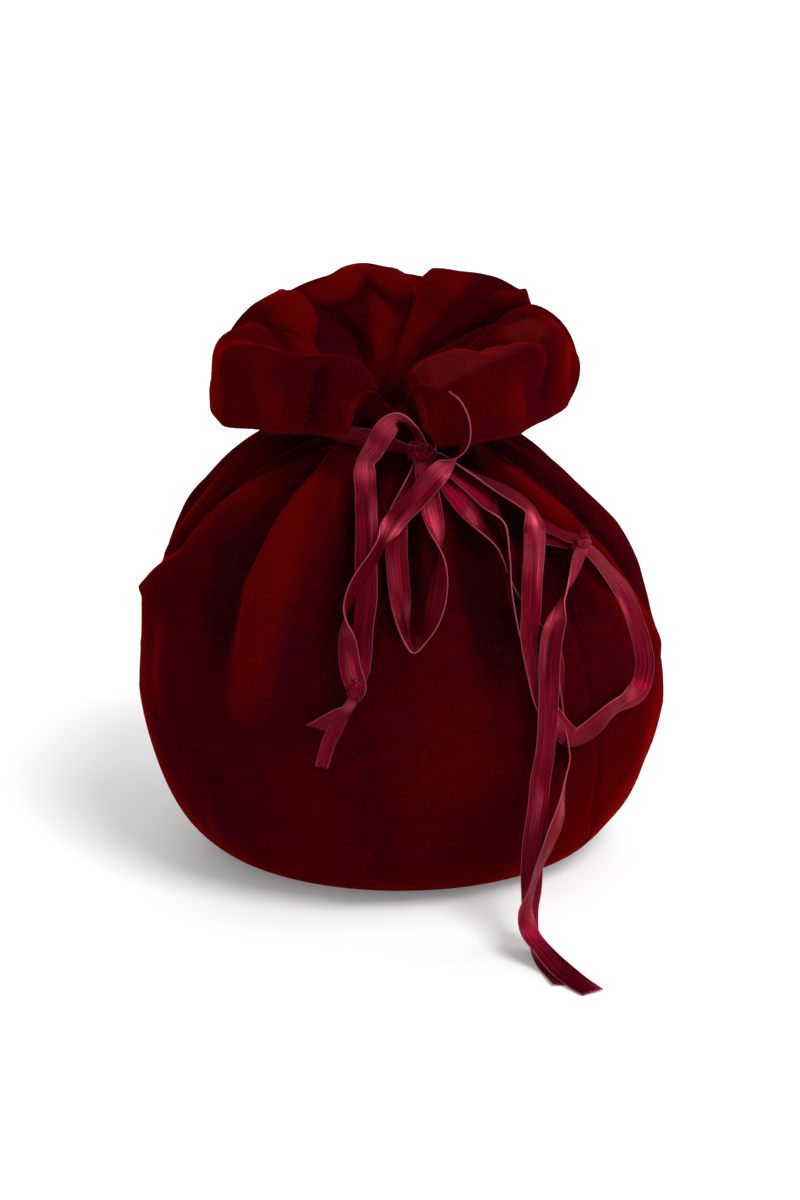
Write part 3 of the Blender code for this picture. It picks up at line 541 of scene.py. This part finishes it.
# Crest lines: rows of height, angle, rise, left flank and right flank, in mm and degrees. The
# two lines at 90 and -90 degrees are broad: they give the bag's two sides their fullness.
FOLDS = (
    ((150, -46, 0.6, 3, 4), (143, -50, 2.8, 4, 4), (136, -57, 4.2, 5, 4), (122, -62, 4.8, 7, 4.5),
     (106, -72, 4.2, 8, 5), (97, -80, 4.2, 7, 6), (92, -86, 4.4, 6, 6), (88, -89, 1.8, 5, 6),
     (77, -91, 1, 5, 6), (68, -92, 0, 5, 6)),
    ((150, -38, 0.6, 3, 4), (143, -44, 2.2, 3, 5), (134, -51, 2.8, 4, 6), (120, -54, 2.2, 6, 7),
     (104, -58, 0.0, 8, 8)),
    ((151, -36, 0.8, 2, 4), (146, -34, 2.8, 2, 5), (138, -31, 5.2, 2.2, 7), (124, -32, 6.8, 2.6, 11),
     (111, -34, 6.4, 3.0, 14), (96, -34.5, 5.4, 3.8, 16), (80, -36, 3.6, 5.5, 18), (58, -38, 0.0, 8, 20)),
    ((151, -26, 0.6, 3, 3), (144, -23, 2.0, 3, 4), (134, -17, 3.0, 3.5, 5), (121, -17, 2.2, 5, 7),
     (106, -18, 0.0, 7, 8)),
    ((151, 36, 0.6, 4, 3), (146, 43, 2.4, 5, 2.4), (138, 51, 4.2, 7, 2.6), (126, 60, 5.4, 8, 3),
     (104, 69, 5.6, 8, 3.6), (89, 74, 4.4, 9, 5), (70, 80, 0.0, 12, 8)),
    ((151, 80, -0.6, 9, 9), (143, 88, -1.2, 10, 10), (128, 90, 0.6, 10, 10), (113, 90, 3.4, 10, 9),
     (98, 90, 4, 10, 9), (88, 90, 3, 10, 9), (78, 90, 0.8, 10, 9), (66, 90, 0.6, 10, 9),
     (52, 90, 1.8, 10, 9), (36, 90, 0.6, 9, 9), (26, 90, -1.2, 9, 9), (16, 90, 0, 9, 9)),
    ((151, -90, 1.4, 9, 9), (143, -90, 3.6, 10, 10), (135, -90, 1.2, 10, 10), (127, -90, -1.8, 10, 10),
     (115, -90, -2.0, 10, 10), (106, -90, 0.0, 10, 10)),
    ((60, 24, 0, 9, 5), (50, 30, 1.6, 10, 3.5), (38, 34, 1.8, 10, 3.5), (24, 36, 1, 8, 4), (12, 38, 0, 6, 5)),
    ((46, -40, 0, 5, 9), (36, -44, 1.5, 3.5, 9), (24, -48, 1.6, 3.5, 8), (12, -50, 0, 5, 6)),
    ((34, -10, 0, 8, 8), (24, -8, 1.3, 9, 4), (14, -6, 1.3, 8, 4), (5, -5, 0, 6, 6)),
    ((128, 13, 0, 6, 6), (118, 14, 1.6, 7, 7), (102, 13, 1.8, 8, 8), (84, 9, 0, 9, 9)),
    ((122, 58, 0, 4, 4), (112, 64, 1.2, 5, 4), (98, 64, 2, 7, 4), (83, 60, 1.6, 8, 6), (64, 54, 0, 9, 9)),
    ((116, 33, 0, 4, 6), (106, 37, 1.4, 4, 7), (92, 41, 1.4, 5, 8), (76, 42, 0, 7, 9)),
)
# Hollows between the folds, in the same rows, with a fall instead of a rise.
HOLLOWS = (
    ((148, -33, 0.0, 4, 2), (140, -36, -3.4, 6, 3), (128, -39, -5.0, 8, 3.5), (112, -42, -4.6, 9, 4),
     (94, -43, -3.0, 9, 6), (74, -44, 0.0, 9, 9)),
    ((150, 58, 0.0, 3, 4), (144, 67, -3.4, 3, 5), (134, 70, -5.0, 3, 6), (117, 76, -4.6, 4, 7),
     (98, 81, -3.0, 5, 8), (80, 84, 0.0, 8, 8)),
    ((150, 25, 0.0, 4, 4), (142, 33, -3.2, 5, 4), (130, 42, -3.8, 6, 5), (112, 50, -2.8, 8, 6),
     (92, 54, 0.0, 8, 8)),
    ((146, -8, 0.0, 4, 4), (134, -9, -3.6, 5, 4), (118, -9, -4.0, 7, 5), (100, -9, -2.6, 8, 7),
     (78, -8, 0.0, 9, 9)),
    ((142, 6, 0.0, 4, 4), (130, 6, -3.4, 5, 4), (112, 5, -3.0, 6, 5), (92, 4, 0.0, 8, 8)),
    ((136, 26, 0.0, 4, 4), (124, 26, -3.4, 5, 4), (106, 25, -3.8, 7, 5), (86, 22, -2.4, 8, 7),
     (62, 20, 0.0, 9, 9)),
    ((150, -44, 0.0, 3, 3), (142, -53, -3.4, 4, 3), (130, -64, -4.0, 4, 5), (112, -74, -3.4, 5, 6),
     (94, -90, 0.0, 6, 8)),
    ((150, 100, 0.0, 4, 4), (140, 106, -3.4, 5, 5), (120, 108, -3.6, 6, 6), (96, 106, 0.0, 8, 8)),
)


def wrap(angle):
    """An angle in degrees, brought between -180 and 180."""
    return (angle + 180.0) % 360.0 - 180.0


def gathers(angle, strength):
    """Depth of the fine gathers: 1 less the size of a cosine, so ridges are round and the
    valleys between them sharp, with a second, finer set laid over the first."""
    turn = np.radians(angle) * GATHERS / 2.0
    first = 1.0 - np.abs(np.cos(turn + 0.35 * np.sin(np.radians(3 * angle))))
    second = 1.0 - np.abs(np.cos(2.3 * turn + 1.1 * np.sin(np.radians(5 * angle)) + 0.8))
    return strength * (0.0030 * first + 0.0010 * second)


def furrows(angle, z):
    """Broad hollows that run down from the tie: a Gaussian across and a sine along each."""
    depth = np.zeros(np.broadcast(angle, z).shape)
    for at_neck, at_end, end, deep, half in FURROWS:
        t = np.clip((z - end / 1000.0) / (NECK_HEIGHT - end / 1000.0), 0.0, 1.0)
        across = wrap(angle - at_end - (at_neck - at_end) * t) / (half * (1.35 - 0.75 * t))
        depth += deep / 1000.0 * np.sin(np.pi * t ** 0.75) ** 0.8 * np.exp(-1.6 * across * across)
    return depth


def ridges(lines, place, across):
    """Rise of the cloth in m along crest lines, each with rows of place, middle, rise and
    two flanks. A line adds its rise times exp(-(d / flank) squared) between its ends, with
    d = across(middle), the distance from it in mm, and a flank for each side."""
    total = 0.0
    for line in lines:
        rows = np.array(sorted(line), dtype=float)
        at = [np.interp(place, rows[:, 0], rows[:, k]) for k in range(1, 5)]
        d = across(at[0])
        flank = np.where(d < 0.0, at[2], at[3])
        inside = (place >= rows[0, 0]) & (place <= rows[-1, 0])
        total = total + np.where(inside, at[1] * np.exp(-(d / flank) ** 2), 0.0)
    return total / 1000.0


def crests(angle, z, lines):
    """Rise in m along crest lines of the bag, with the distance round it at each height."""
    wide, deep = bag_section(z)
    a = np.radians(angle)
    radius = np.hypot(wide * np.cos(a), deep * np.sin(a)) * 1000.0
    return ridges(lines, z * 1000.0, lambda middle: np.radians(wrap(angle - middle)) * radius)


def pressed(places):
    """Highest rise that the ribbons leave the velvet, in m: a ribbon's stand-off less
    0.9 mm within 4 mm of its middle line, and 1.2 mm more for each mm beyond. Where it
    stands 9 mm off or more it doesn't press."""
    limit = np.full(places.shape[:-1], 1.0)
    for name, rows, *rest in CORDS:
        rows = smooth_rows(rows, 6)
        rows = rows[rows[:, 2] < 9.0]
        feet = row_point(rows * (1, 1, 0))[0]
        for foot, off in zip(feet, rows[:, 2] / 1000.0):
            away = np.linalg.norm(places - foot, axis=-1)
            limit = np.minimum(limit, off - 0.0009 + 1.2 * np.maximum(away - 0.004, 0.0))
    return limit


def soft_waves(angle, z):
    """Slow unevenness of a hand filled bag: a few long sine waves, about a millimetre."""
    a = np.radians(angle)
    waves = ((0.9, 3, 60, 0.4), (0.7, 5, -90, 1.9), (0.5, 8, 130, 0), (0.35, 13, -75, 2.2),
             (0.25, 21, 160, 0.7))
    wave = sum(size * np.sin(round_it * a + up_it * z + start) for size, round_it, up_it, start in waves)
    return 0.0006 * wave * smooth(z / 0.02) * smooth((SHOULDER - z) / 0.03)


print("folds", len(FOLDS), "hollows", len(HOLLOWS), "furrows", len(FURROWS))

# %% [markdown]
# ## From tie to throat
# Above the tie the grid goes on: up the outside of the cloth, round a rolled rim, and down the
# inside. The inside is what the photograph shows most of, because the ruffle rolls outwards.
# Its creases run from the rim into the throat, so they are crest lines too, along the cloth
# instead of up the bag.

# %% Creases inside the ruffle
# Along the cloth: rows of place (0 at the throat, 1 at the rim), angle, rise, and the flanks
# towards smaller and larger angles, with rise and flanks in mm.
CREASES = (
    ((1.0, -133, 2.0, 1.4, 8), (0.7, -122, 4.0, 1.4, 10), (0.54, -116, 4.6, 1.4, 10), (0.35, -104, 3.4, 2, 8),
     (0.15, -85, 0.0, 3, 5)),
    ((0.86, -111, 0.0, 2, 3), (0.66, -109, -2.5, 2, 3.5), (0.5, -102, -3.4, 2.2, 4), (0.36, -92, -2.0, 3, 4),
     (0.2, -80, 0.0, 3, 3)),
    ((0.66, -141, 0.0, 2, 3), (0.6, -144, -2.4, 1.8, 4), (0.45, -153, -3.2, 2, 5), (0.3, -160, -2.4, 2.5, 5),
     (0.12, -162, 0.0, 3, 3)),
    ((0.72, -172, 0.0, 5, 6), (0.55, -174, 2.6, 5, 6), (0.35, -176, 2.0, 5, 5), (0.15, -178, 0.0, 3, 3)),
    ((1.0, 163, 3.0, 12, 1.2), (0.85, 165, 4.2, 12, 1.2), (0.7, 167, 4.2, 10, 1.4), (0.45, 170, 3.0, 8, 2.2),
     (0.22, 171, 0.0, 5, 4)),
    ((1.0, -177, 2.4, 1.2, 8), (0.85, -184, 3.0, 1.2, 9), (0.7, -192, 2.4, 1.5, 8), (0.6, -193, 0.0, 2, 6)),
    ((1, 116, -1.5, 4, 3), (0.8, 119, -3.2, 4, 3), (0.63, 122.5, -4.2, 3.5, 4.5),
     (0.46, 134, -4.4, 3.5, 4.5), (0.3, 142, -3, 3.5, 4), (0.1, 150, 0, 3, 3)),
    ((1.0, 121, 1.8, 1.0, 2), (0.85, 124, 1.8, 1.0, 3), (0.7, 129, 0.0, 2, 3)),
    ((0.56, -36, 0, 0.9, 3), (0.64, -37, -1.8, 0.9, 5), (0.85, -40.3, -2.2, 0.9, 7), (1, -42, -1.8, 0.9, 8)),
    ((0.50, -58, 0.0, 5, 5), (0.62, -56, 1.2, 6, 6), (0.85, -54, 1.4, 7, 7), (1.0, -52, 0.6, 7, 7)),
    ((0.56, 44, 0.0, 4, 3), (0.70, 46, 1.3, 6, 3), (0.88, 48, 1.5, 7, 3), (1.0, 49, 1.0, 7, 3)),
    ((0.56, 66, 0.0, 3, 4), (0.72, 64, -1.4, 4, 4), (0.90, 62, -1.4, 5, 4), (1.0, 61, -0.8, 5, 4)),
    ((0.7, -29, 0, 1.5, 1.5), (0.8, -25.5, 1.3, 3, 1.1), (0.9, -21, 1.5, 3.5, 1.1), (1, -19, 1.2, 3.5, 1.1)),
    ((0.9, 60, 0.0, 6, 6), (0.6, 70, -1.6, 6, 5), (0.4, 84, -3.0, 5, 5), (0.2, 100, -1.5, 4, 4),
     (0.08, 110, 0.0, 3, 3)),
    ((0.62, -60, 0.0, 5, 5), (0.45, -60, -2.4, 5, 5), (0.28, -56, -2.4, 4, 4), (0.1, -50, 0.0, 3, 3)),
)
# Round the cloth: rows of angle, place, rise, and the flanks towards throat and rim in mm.
ROLLS = (
    ((-130, 0.72, 0, 1.2, 8), (-138, 0.7, 3, 1, 9), (-150, 0.73, 4, 1, 10), (-165, 0.76, 4, 1, 9),
     (-175, 0.76, 2, 1.5, 7), (-180, 0.72, 0, 2, 5)),
    ((10, 0.58, 0, 2, 2), (22, 0.52, 1.2, 2.5, 2), (50, 0.46, 2, 2.2, 2.5), (80, 0.43, 2, 2.2, 2.5),
     (102, 0.5, 1.2, 2.5, 2), (110, 0.6, 0, 2, 2)),
)


def sheet_normals(points):
    """Normals of a closed ring of columns, towards the inside of the funnel: the cross
    product of the steps along it and round it."""
    round_it = np.roll(points, -1, axis=1) - np.roll(points, 1, axis=1)
    return unit(np.cross(np.gradient(points, axis=0), round_it))


def creased(angle, share, radius, length):
    """Rise of the ruffle's cloth in m: the creases along it and the rolls round it."""
    round_mm, along_mm = radius * 1000.0, length * 1000.0
    return (ridges(CREASES, share, lambda middle: np.radians(wrap(angle - middle)) * round_mm)
            + ridges(ROLLS, angle, lambda middle: (share - middle) * along_mm))


print("creases", len(CREASES), "rolls", len(ROLLS))

# %% The whole bag on one grid
AROUND = 420
BELLY_ROWS, SHOULDER_ROWS, RUFFLE_ROWS, RIM_ROWS = 34, 90, 46, 5
# The sewn seam at the front right: rows of height in mm and angle.
SEAM = ((98, 46.7), (78, 44.7), (53, 46.9), (31, 51.0), (14, 58.5), (0, 62.0))
# The hem's matte facing shows on the right: its two borders as rows of angle and place.
FACING_INNER = ((10, 0.30), (31, 0.32), (50, 0.38), (70, 0.42), (90, 0.46), (103, 0.52))
FACING_OUTER = ((10, 0.68), (22, 0.66), (31, 0.62), (50, 0.60), (70, 0.59), (90, 0.60), (103, 0.64))


def bag_body(ring, a):
    """Points (rows, angles, 3) from the base to the tie, and the light and shade painted there:
    above 0 on the folds, painted lighter; below 0 in hollows, furrows and under the ruffle, darker."""
    low = BELLY_HEIGHT * (1.0 - np.cos(np.pi / 2.0 * np.linspace(0.0, 1.0, BELLY_ROWS)))
    t = np.linspace(0.0, 1.0, SHOULDER_ROWS + 1)[1:]
    high = BELLY_HEIGHT + (SHOULDER - BELLY_HEIGHT) * (1.0 - (1.0 - t) ** 1.5)
    tie = NECK_HEIGHT + TIE_HEIGHT / 2.0 * np.array([-0.5, 0.0, 0.5, 1.0])
    z = np.concatenate([low, high, tie])[:, None]
    wide, deep = bag_section(z)
    shrink = furrows(ring, z) + gathers(ring, smooth((z - NECK_HEIGHT + 0.030) / 0.030))
    base_x, base_y = wide * np.sin(a), -deep * np.cos(a)
    keep = 1.0 - shrink / np.hypot(base_x, base_y)
    out = bag_point(ring, z)[1]
    rise = crests(ring, z, FOLDS) + crests(ring, z, HOLLOWS) + soft_waves(ring, z)
    seam = read_off(z * 1000.0, SEAM[::-1])
    off_seam = np.radians(ring - seam) * np.hypot(base_x, base_y) / 0.0011
    shown = smooth((0.112 - z) / 0.012) * smooth(z / 0.006)
    rise += shown * (0.0004 * np.exp(-(off_seam / 2.5) ** 2) - 0.0013 * np.exp(-off_seam ** 2))
    rise = np.minimum(rise, pressed(bag_point(ring, z)[0]))
    # painted light and shade: lighter on fold crests, darker in hollows, furrows and gathers, and darker near
    # the tie, under the ruffle
    brush = crests(ring, z, FOLDS) / 0.004 + crests(ring, z, HOLLOWS) / 0.003 - shrink / 0.005
    brush = np.clip(brush, -1.0, 1.0) - 1.4 * smooth((z - 0.138) / 0.012)
    points = np.stack([base_x * keep + lean(z), base_y * keep, z + 0.0 * a], axis=-1) + out * rise[..., None]
    return points, brush


def bag_ruffle(ring, a):
    """The ruffle: the middle of the cloth first, creased along its normal, then its two
    faces half a thickness either side, a half round rim, and the pull to the throat."""
    share = np.linspace(0.0, 1.0, RUFFLE_ROWS + 1)[:, None]
    length = petals(ring[0])[0][None, :]
    r, z = ruffle_paths(ring[0], RUFFLE_ROWS)
    middle = np.stack([r * np.sin(a), -r * np.cos(a), z], axis=-1)
    place = np.broadcast_to(share, r.shape)
    fade = smooth((share - 0.08) / 0.25)
    rise = creased(np.broadcast_to(ring, r.shape), place, r, length) * fade * smooth(length / 0.03)
    pleat = np.cos(a * 11 + 0.8 * np.sin(2 * a)) + 0.5 * np.cos(a * 17 + 1.3 * np.sin(3 * a) + 0.6)
    rise = rise + 0.0007 * pleat * np.sin(np.pi * np.clip(share / 0.8, 0.0, 1.0))
    middle = middle + sheet_normals(middle) * rise[..., None]
    normal = sheet_normals(middle) * CLOTH / 2.0
    dip = gathers(ring, 1.0 - smooth(share * length / 0.018))
    outside = middle - normal
    outside[..., 0] -= dip * np.sin(a)
    outside[..., 1] += dip * np.cos(a)
    inside = middle + normal
    tip = unit(middle[-1] - middle[-3]) * CLOTH / 2.0
    turn = np.linspace(0.0, np.pi, RIM_ROWS + 2)[1:-1][:, None, None]
    rim = middle[-1] - normal[-1] * np.cos(turn) + tip * np.sin(turn)
    pull = ((1.0 - np.clip((share - 0.06) / 0.60, 0.0, 1.0)) ** 1.35)[..., None]
    throat = np.stack([THROAT_X + THROAT_WIDE * np.sin(a), -THROAT_WIDE * np.cos(a),
                       NECK_HEIGHT + THROAT_RISE + 0.0 * a], axis=-1)
    inside = inside + (throat - inside[:1]) * pull
    drop = THROAT_DROP * (1.0 - np.clip(share / 0.16, 0.0, 1.0)) ** 1.3
    inside[..., 2] -= drop
    # painted light and shade on the ruffle: lighter on crease crests, darker in their hollows and towards the
    # tie and the throat
    brush = rise / 0.0022 - 1.0 * (1.0 - smooth(share / 0.30))
    return outside[1:], rim, inside[::-1], share, brush


def bag_grid(angle):
    """Points (rows, angles, 3) of the whole bag, how far each is along the ruffle (0 on the
    bag and at the throat, 1 at the rim), its side: -1 outside, 0 on the rim, 1 inside, and
    its painted light and shade, from -1 to 1 (lighter above 0, darker below)."""
    a, ring = np.radians(angle)[None, :], angle[None, :]
    body, body_painted_shading = bag_body(ring, a)
    outside, rim, inside, share, brush = bag_ruffle(ring, a)
    brush = np.vstack([body_painted_shading, brush[1:], np.repeat(brush[-1:], RIM_ROWS, axis=0), brush[::-1]])
    points = np.vstack([body, outside, rim, inside])
    ones = np.ones((1, len(angle)))
    along = np.vstack([np.zeros((len(body), 1)), share[1:], np.ones((RIM_ROWS, 1)), share[::-1]]) * ones
    rows = [len(body) + len(outside), RIM_ROWS, len(inside)]
    side = np.repeat([-1.0, 0.0, 1.0], rows)[:, None] * ones
    return points, along, side, np.clip(brush, -1.0, 1.0)


# Columns stand closer together at the front, where the small folds are.
turns_round = np.arange(AROUND) / AROUND
angles = 360.0 * turns_round - 180.0 + 18.0 * np.sin(2.0 * np.pi * turns_round)
# the last value is the painted light and shade that the velvet's colour reads
bag, along, side, brushed_pile = bag_grid(angles)
facing = (smooth((along - read_off(angles, FACING_INNER)) / 0.02)
          * smooth((read_off(angles, FACING_OUTER) - along) / 0.02)
          * smooth((angles - 10.0) / 1.5) * smooth((103.0 - angles) / 3.0) * (side > 0.5))
velvet_bag = put_grid("velvet_bag", bag, along_cloth=along * (side > -0.5), facing_strip=facing,
                      brushed_pile=brushed_pile)
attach(velvet_bag, "root")
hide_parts("velvet_pouch")
print("velvet bag: %d rows of %d points" % bag.shape[:2])

# %% [markdown]
# ## Shader maths in plain expressions
# Node trees get long when every sum is placed by hand. A small class wraps a socket, so that
# an expression such as `1 - mask * 0.5` adds the Math nodes itself. Colours don't go through
# it, because a Math node would turn them grey: they are mixed with Mix nodes.

# %% A socket that can be added and multiplied
class Wire:
    """An output socket of a node, with the operators that shader values need."""

    def __init__(self, paint, socket):
        self.paint, self.socket = paint, socket

    def math(self, operation, other=None, swap=False):
        pair = (other, self) if swap else (self, other)
        pair = [p for p in pair if p is not None]
        return self.paint.node("ShaderNodeMath", dict(enumerate(pair)), operation=operation)

    def __add__(self, other): return self.math("ADD", other)
    def __radd__(self, other): return self.math("ADD", other, True)
    def __sub__(self, other): return self.math("SUBTRACT", other)
    def __rsub__(self, other): return self.math("SUBTRACT", other, True)
    def __mul__(self, other): return self.math("MULTIPLY", other)
    def __rmul__(self, other): return self.math("MULTIPLY", other, True)


class Paint:
    """A material being made. node() adds any node: its type, the values or wires of its
    inputs by name or number, the output to use, and its settings, which are set first."""

    def __init__(self, name):
        self.material = bpy.data.materials.new(name)
        self.material.use_nodes = True
        self.tree = self.material.node_tree
        self.shader = self.tree.nodes["Principled BSDF"]

    def feed(self, item, inputs):
        """Gives a node's inputs their values or wires."""
        for key, value in inputs.items():
            if isinstance(value, Wire):
                self.tree.links.new(value.socket, item.inputs[key])
            else:
                item.inputs[key].default_value = value

    def node(self, kind, inputs=(), output=0, **settings):
        item = self.tree.nodes.new(kind)
        for key, value in settings.items():
            setattr(item, key, value)
        self.feed(item, dict(inputs))
        return Wire(self, item.outputs[output])

    def attribute(self, name):
        """The value of one of the mesh's attributes."""
        return self.node("ShaderNodeAttribute", output=2, attribute_name=name)

    def mix(self, share, one, other):
        """A colour between a wire and three numbers, or between two of either, by a share."""
        one, other = (c if isinstance(c, Wire) else (*c, 1.0) for c in (one, other))
        return self.node("ShaderNodeMix", {0: share, 6: one, 7: other}, 2, data_type="RGBA")

    def ease(self, value, low, high):
        """0 below low and 1 above high, eased between them."""
        inputs = {0: value, 1: low, 2: high, 3: 0.0, 4: 1.0}
        return self.node("ShaderNodeMapRange", inputs, interpolation_type="SMOOTHSTEP")

    def noise(self, place, scale, detail=1.0, roughness=0.5, distortion=0.0):
        """Soft noise from 0 to 1, with scale waves to a unit of the place."""
        return self.node("ShaderNodeTexNoise", {"Vector": place, "Scale": scale, "Detail": detail,
                                                "Roughness": roughness, "Distortion": distortion})

    def stretched(self, across, along):
        """A place made from two coordinates of a map."""
        return self.node("ShaderNodeCombineXYZ", {0: across, 1: along})

    def bump(self, height, strength, distance, **below):
        """A bump from a height, over the one given as Normal if there is one."""
        inputs = {"Height": height, "Strength": strength, "Distance": distance, **below}
        return self.node("ShaderNodeBump", inputs)

    def set(self, **values):
        """Values or wires for the shader's own sockets, with _ for a space."""
        self.feed(self.shader, {key.replace("_", " "): value for key, value in values.items()})


print("shader helpers ready")

# %% [markdown]
# ## Velvet
# Velvet is dark where its pile faces the eye and bright where it leans away, because light runs
# along the standing fibres. The sheen of the Principled shader does that. Light and shade are
# also painted into the colour: folds lighter and warmer, hollows, the throat and the shoulder under
# the ruffle darker and cooler, as an attribute of the mesh says. Patches that fingers brushed
# are slow noise that changes the colour and the painted light and shade and tilts the surface a
# little, and the pile's grain is fine noise well under a millimetre.

# %% Crimson velvet
velvet = Paint("crimson_velvet_pile")
place = velvet.node("ShaderNodeTexCoord", output=3)
brushed = velvet.noise(place, 14.0, 3.0, 0.5, 0.8)
patches = velvet.noise(place, 70.0, 2.0, 0.6, 0.8)
grain = velvet.noise(place, 900.0, 2.0, 0.65)
pile = velvet.noise(place, 2600.0)
tone = velvet.ease(brushed * 0.7 + patches * 0.15 + grain * 0.15, 0.34, 0.66)
colour = velvet.mix(tone, (0.024, 0.0000, 0.0028), (0.050, 0.0002, 0.0006))
# painted light and shade: folds lighter and warmer, hollows, throat and the shoulder under the ruffle darker
# and cooler; the noise varies it
painted_light_level = velvet.attribute("brushed_pile") + (grain - 0.5) * 0.5 + (brushed - 0.5) * 1.2
colour = velvet.mix(velvet.ease(painted_light_level, 0.10, 1.10) * 0.62, colour, (0.115, 0.0009, 0.0002))
colour = velvet.mix(velvet.ease(painted_light_level * -1.0, 0.10, 1.00) * 0.78, colour, (0.009, 0.0000, 0.0022))
colour = velvet.mix(velvet.ease(grain, 0.5, 0.75) * 0.22, colour, (0.110, 0.0006, 0.0006))
# painted highlight: the rolled rim's pile edge is a little lighter
rim_highlight = velvet.ease(velvet.attribute("along_cloth"), 0.985, 1.0)
colour = velvet.mix(rim_highlight * 0.15, colour, (0.110, 0.004, 0.006))
facing_share = velvet.attribute("facing_strip") * (0.40 + grain * 0.35)
colour = velvet.mix(facing_share, colour, (0.105, 0.0042, 0.0050))
bump = velvet.bump(brushed, 0.35, 0.004)
bump = velvet.bump(grain * 0.6 + pile * 0.4, 0.35, 0.0005, Normal=bump)
velvet.set(Base_Color=colour, Roughness=0.92, Normal=bump, Specular_IOR_Level=0.0, Sheen_Weight=0.30,
           Sheen_Roughness=0.30, Sheen_Tint=(0.95, 0.010, 0.004, 1.0))
velvet_bag.data.materials.append(velvet.material)
print("velvet nodes:", len(velvet.tree.nodes))

# %% [markdown]
# ## Satin ribbon
# The ribbon's fine lengthwise threads catch the light as narrow streaks, broad pink highlights
# are painted into its colour where it bends and in slow patches along it, and its two woven edges
# are thicker and paler. The strip's own UV map carries the pattern: across the ribbon from 0 to 1,
# and along it in metres.

# %% Burgundy satin
satin = Paint("burgundy_satin_ribbon")
uv = satin.node("ShaderNodeUVMap", uv_map="UVMap")
u = satin.node("ShaderNodeSeparateXYZ", {0: uv})
v = Wire(satin, u.socket.node.outputs[1])
threads = satin.noise(satin.stretched(u * 24.0, v * 40.0), 1.0, 2.0, 0.6)
weave = satin.noise(satin.stretched(u * 90.0, v * 1400.0), 1.0)
ribs = (u * 2.0 * math.pi * 15.0).math("SINE")
edge = satin.ease((u - 0.5).math("ABSOLUTE"), 0.462, 0.485)
streak = satin.ease(threads, 0.40, 0.70)
colour = satin.mix(streak, (0.058, 0.0000, 0.0040), (0.220, 0.0004, 0.0155))
colour = satin.mix(satin.ease(weave, 0.45, 0.8) * 0.25, colour, (0.26, 0.002, 0.022))
# painted highlight: pink in slow patches along the ribbon and where it bends
painted_highlight = satin.ease(satin.noise(satin.stretched(u * 0.7, v * 26.0), 1.0, 1.0, 0.4), 0.52, 0.70)
painted_highlight = painted_highlight * 0.45 + satin.attribute("bend") * (0.35 + painted_highlight * 0.65)
colour = satin.mix(painted_highlight * (0.36 + streak * 0.64), colour, (0.92, 0.095, 0.155))
colour = satin.mix(edge * 0.6, colour, (0.38, 0.07, 0.11))
height = ribs * 0.35 + threads * 0.9 + weave * 0.25 - edge * 0.3
bump = satin.bump(height, 0.60, 0.00014)
satin.set(Base_Color=colour, Roughness=0.24 + weave * 0.10 + edge * 0.2, Normal=bump, Metallic=0.65,
          Specular_IOR_Level=0.06, Specular_Tint=(1.0, 0.25, 0.40, 1.0), Sheen_Weight=0.0,
          Coat_Weight=0.05, Coat_Roughness=0.25)
for name, (item, path, length, nodes, end) in ribbons.items():
    item.data.materials.append(satin.material)
for parts, node in knots.values():
    for part in parts:
        part.data.materials.append(satin.material)
print("satin nodes:", len(satin.tree.nodes))

# %% [markdown]
# ## Floor and light
# The photograph has a white floor that fades into a white background. A broad, soft sun from
# above, the right and the front throws the faint shadow to the left. One soft box lights the
# right edge, and another the back of the ruffle.

# %% Floor
corners = np.array([(-6, -6, 0), (6, -6, 0), (6, 9, 0), (-6, 9, 0)], dtype=float)
plate = put_mesh("studio_floor", corners, [(0, 1, 2, 3)])
white = Paint("studio_white")
white.set(Base_Color=(0.92, 0.92, 0.92, 1.0), Roughness=0.9, Specular_IOR_Level=0.1,
          Emission_Color=(1.0, 1.0, 1.0, 1.0), Emission_Strength=0.14)
plate.data.materials.append(white.material)
print("floor 12 by 15 m")


# %% A soft sun and two soft boxes
def soft_box(name, place, aim, size, power):
    """A square area light that faces a point."""
    light = bpy.data.lights.new(name, "AREA")
    light.shape, light.size, light.energy = "SQUARE", size, power
    x, y, z = np.array(place) - np.array(aim)
    item = add(name, light)
    item.location = place
    item.rotation_euler = (math.atan2(math.hypot(x, y), z), 0.0, math.atan2(x, -y))


key = bpy.data.lights.new("key_sun", "SUN")
key.energy, key.angle = 1.7, math.radians(24.0)
add("key_sun", key).rotation_euler = (math.radians(24.0), math.radians(26.0), 0.0)
soft_box("right_box", (1.1, 0.1, 0.40), (0.0, 0.0, 0.09), 0.5, 5.0)
soft_box("back_box", (-0.3, 0.9, 0.8), (0.0, 0.0, 0.12), 0.8, 1.5)
world = bpy.data.worlds.new("studio_world")
world.use_nodes = True
surround = world.node_tree.nodes["Background"].inputs
surround[0].default_value, surround[1].default_value = (1.0, 1.0, 1.0, 1.0), 0.62
bpy.context.scene.world = world
print("lights: a soft sun, 2 soft boxes and a pale surround")
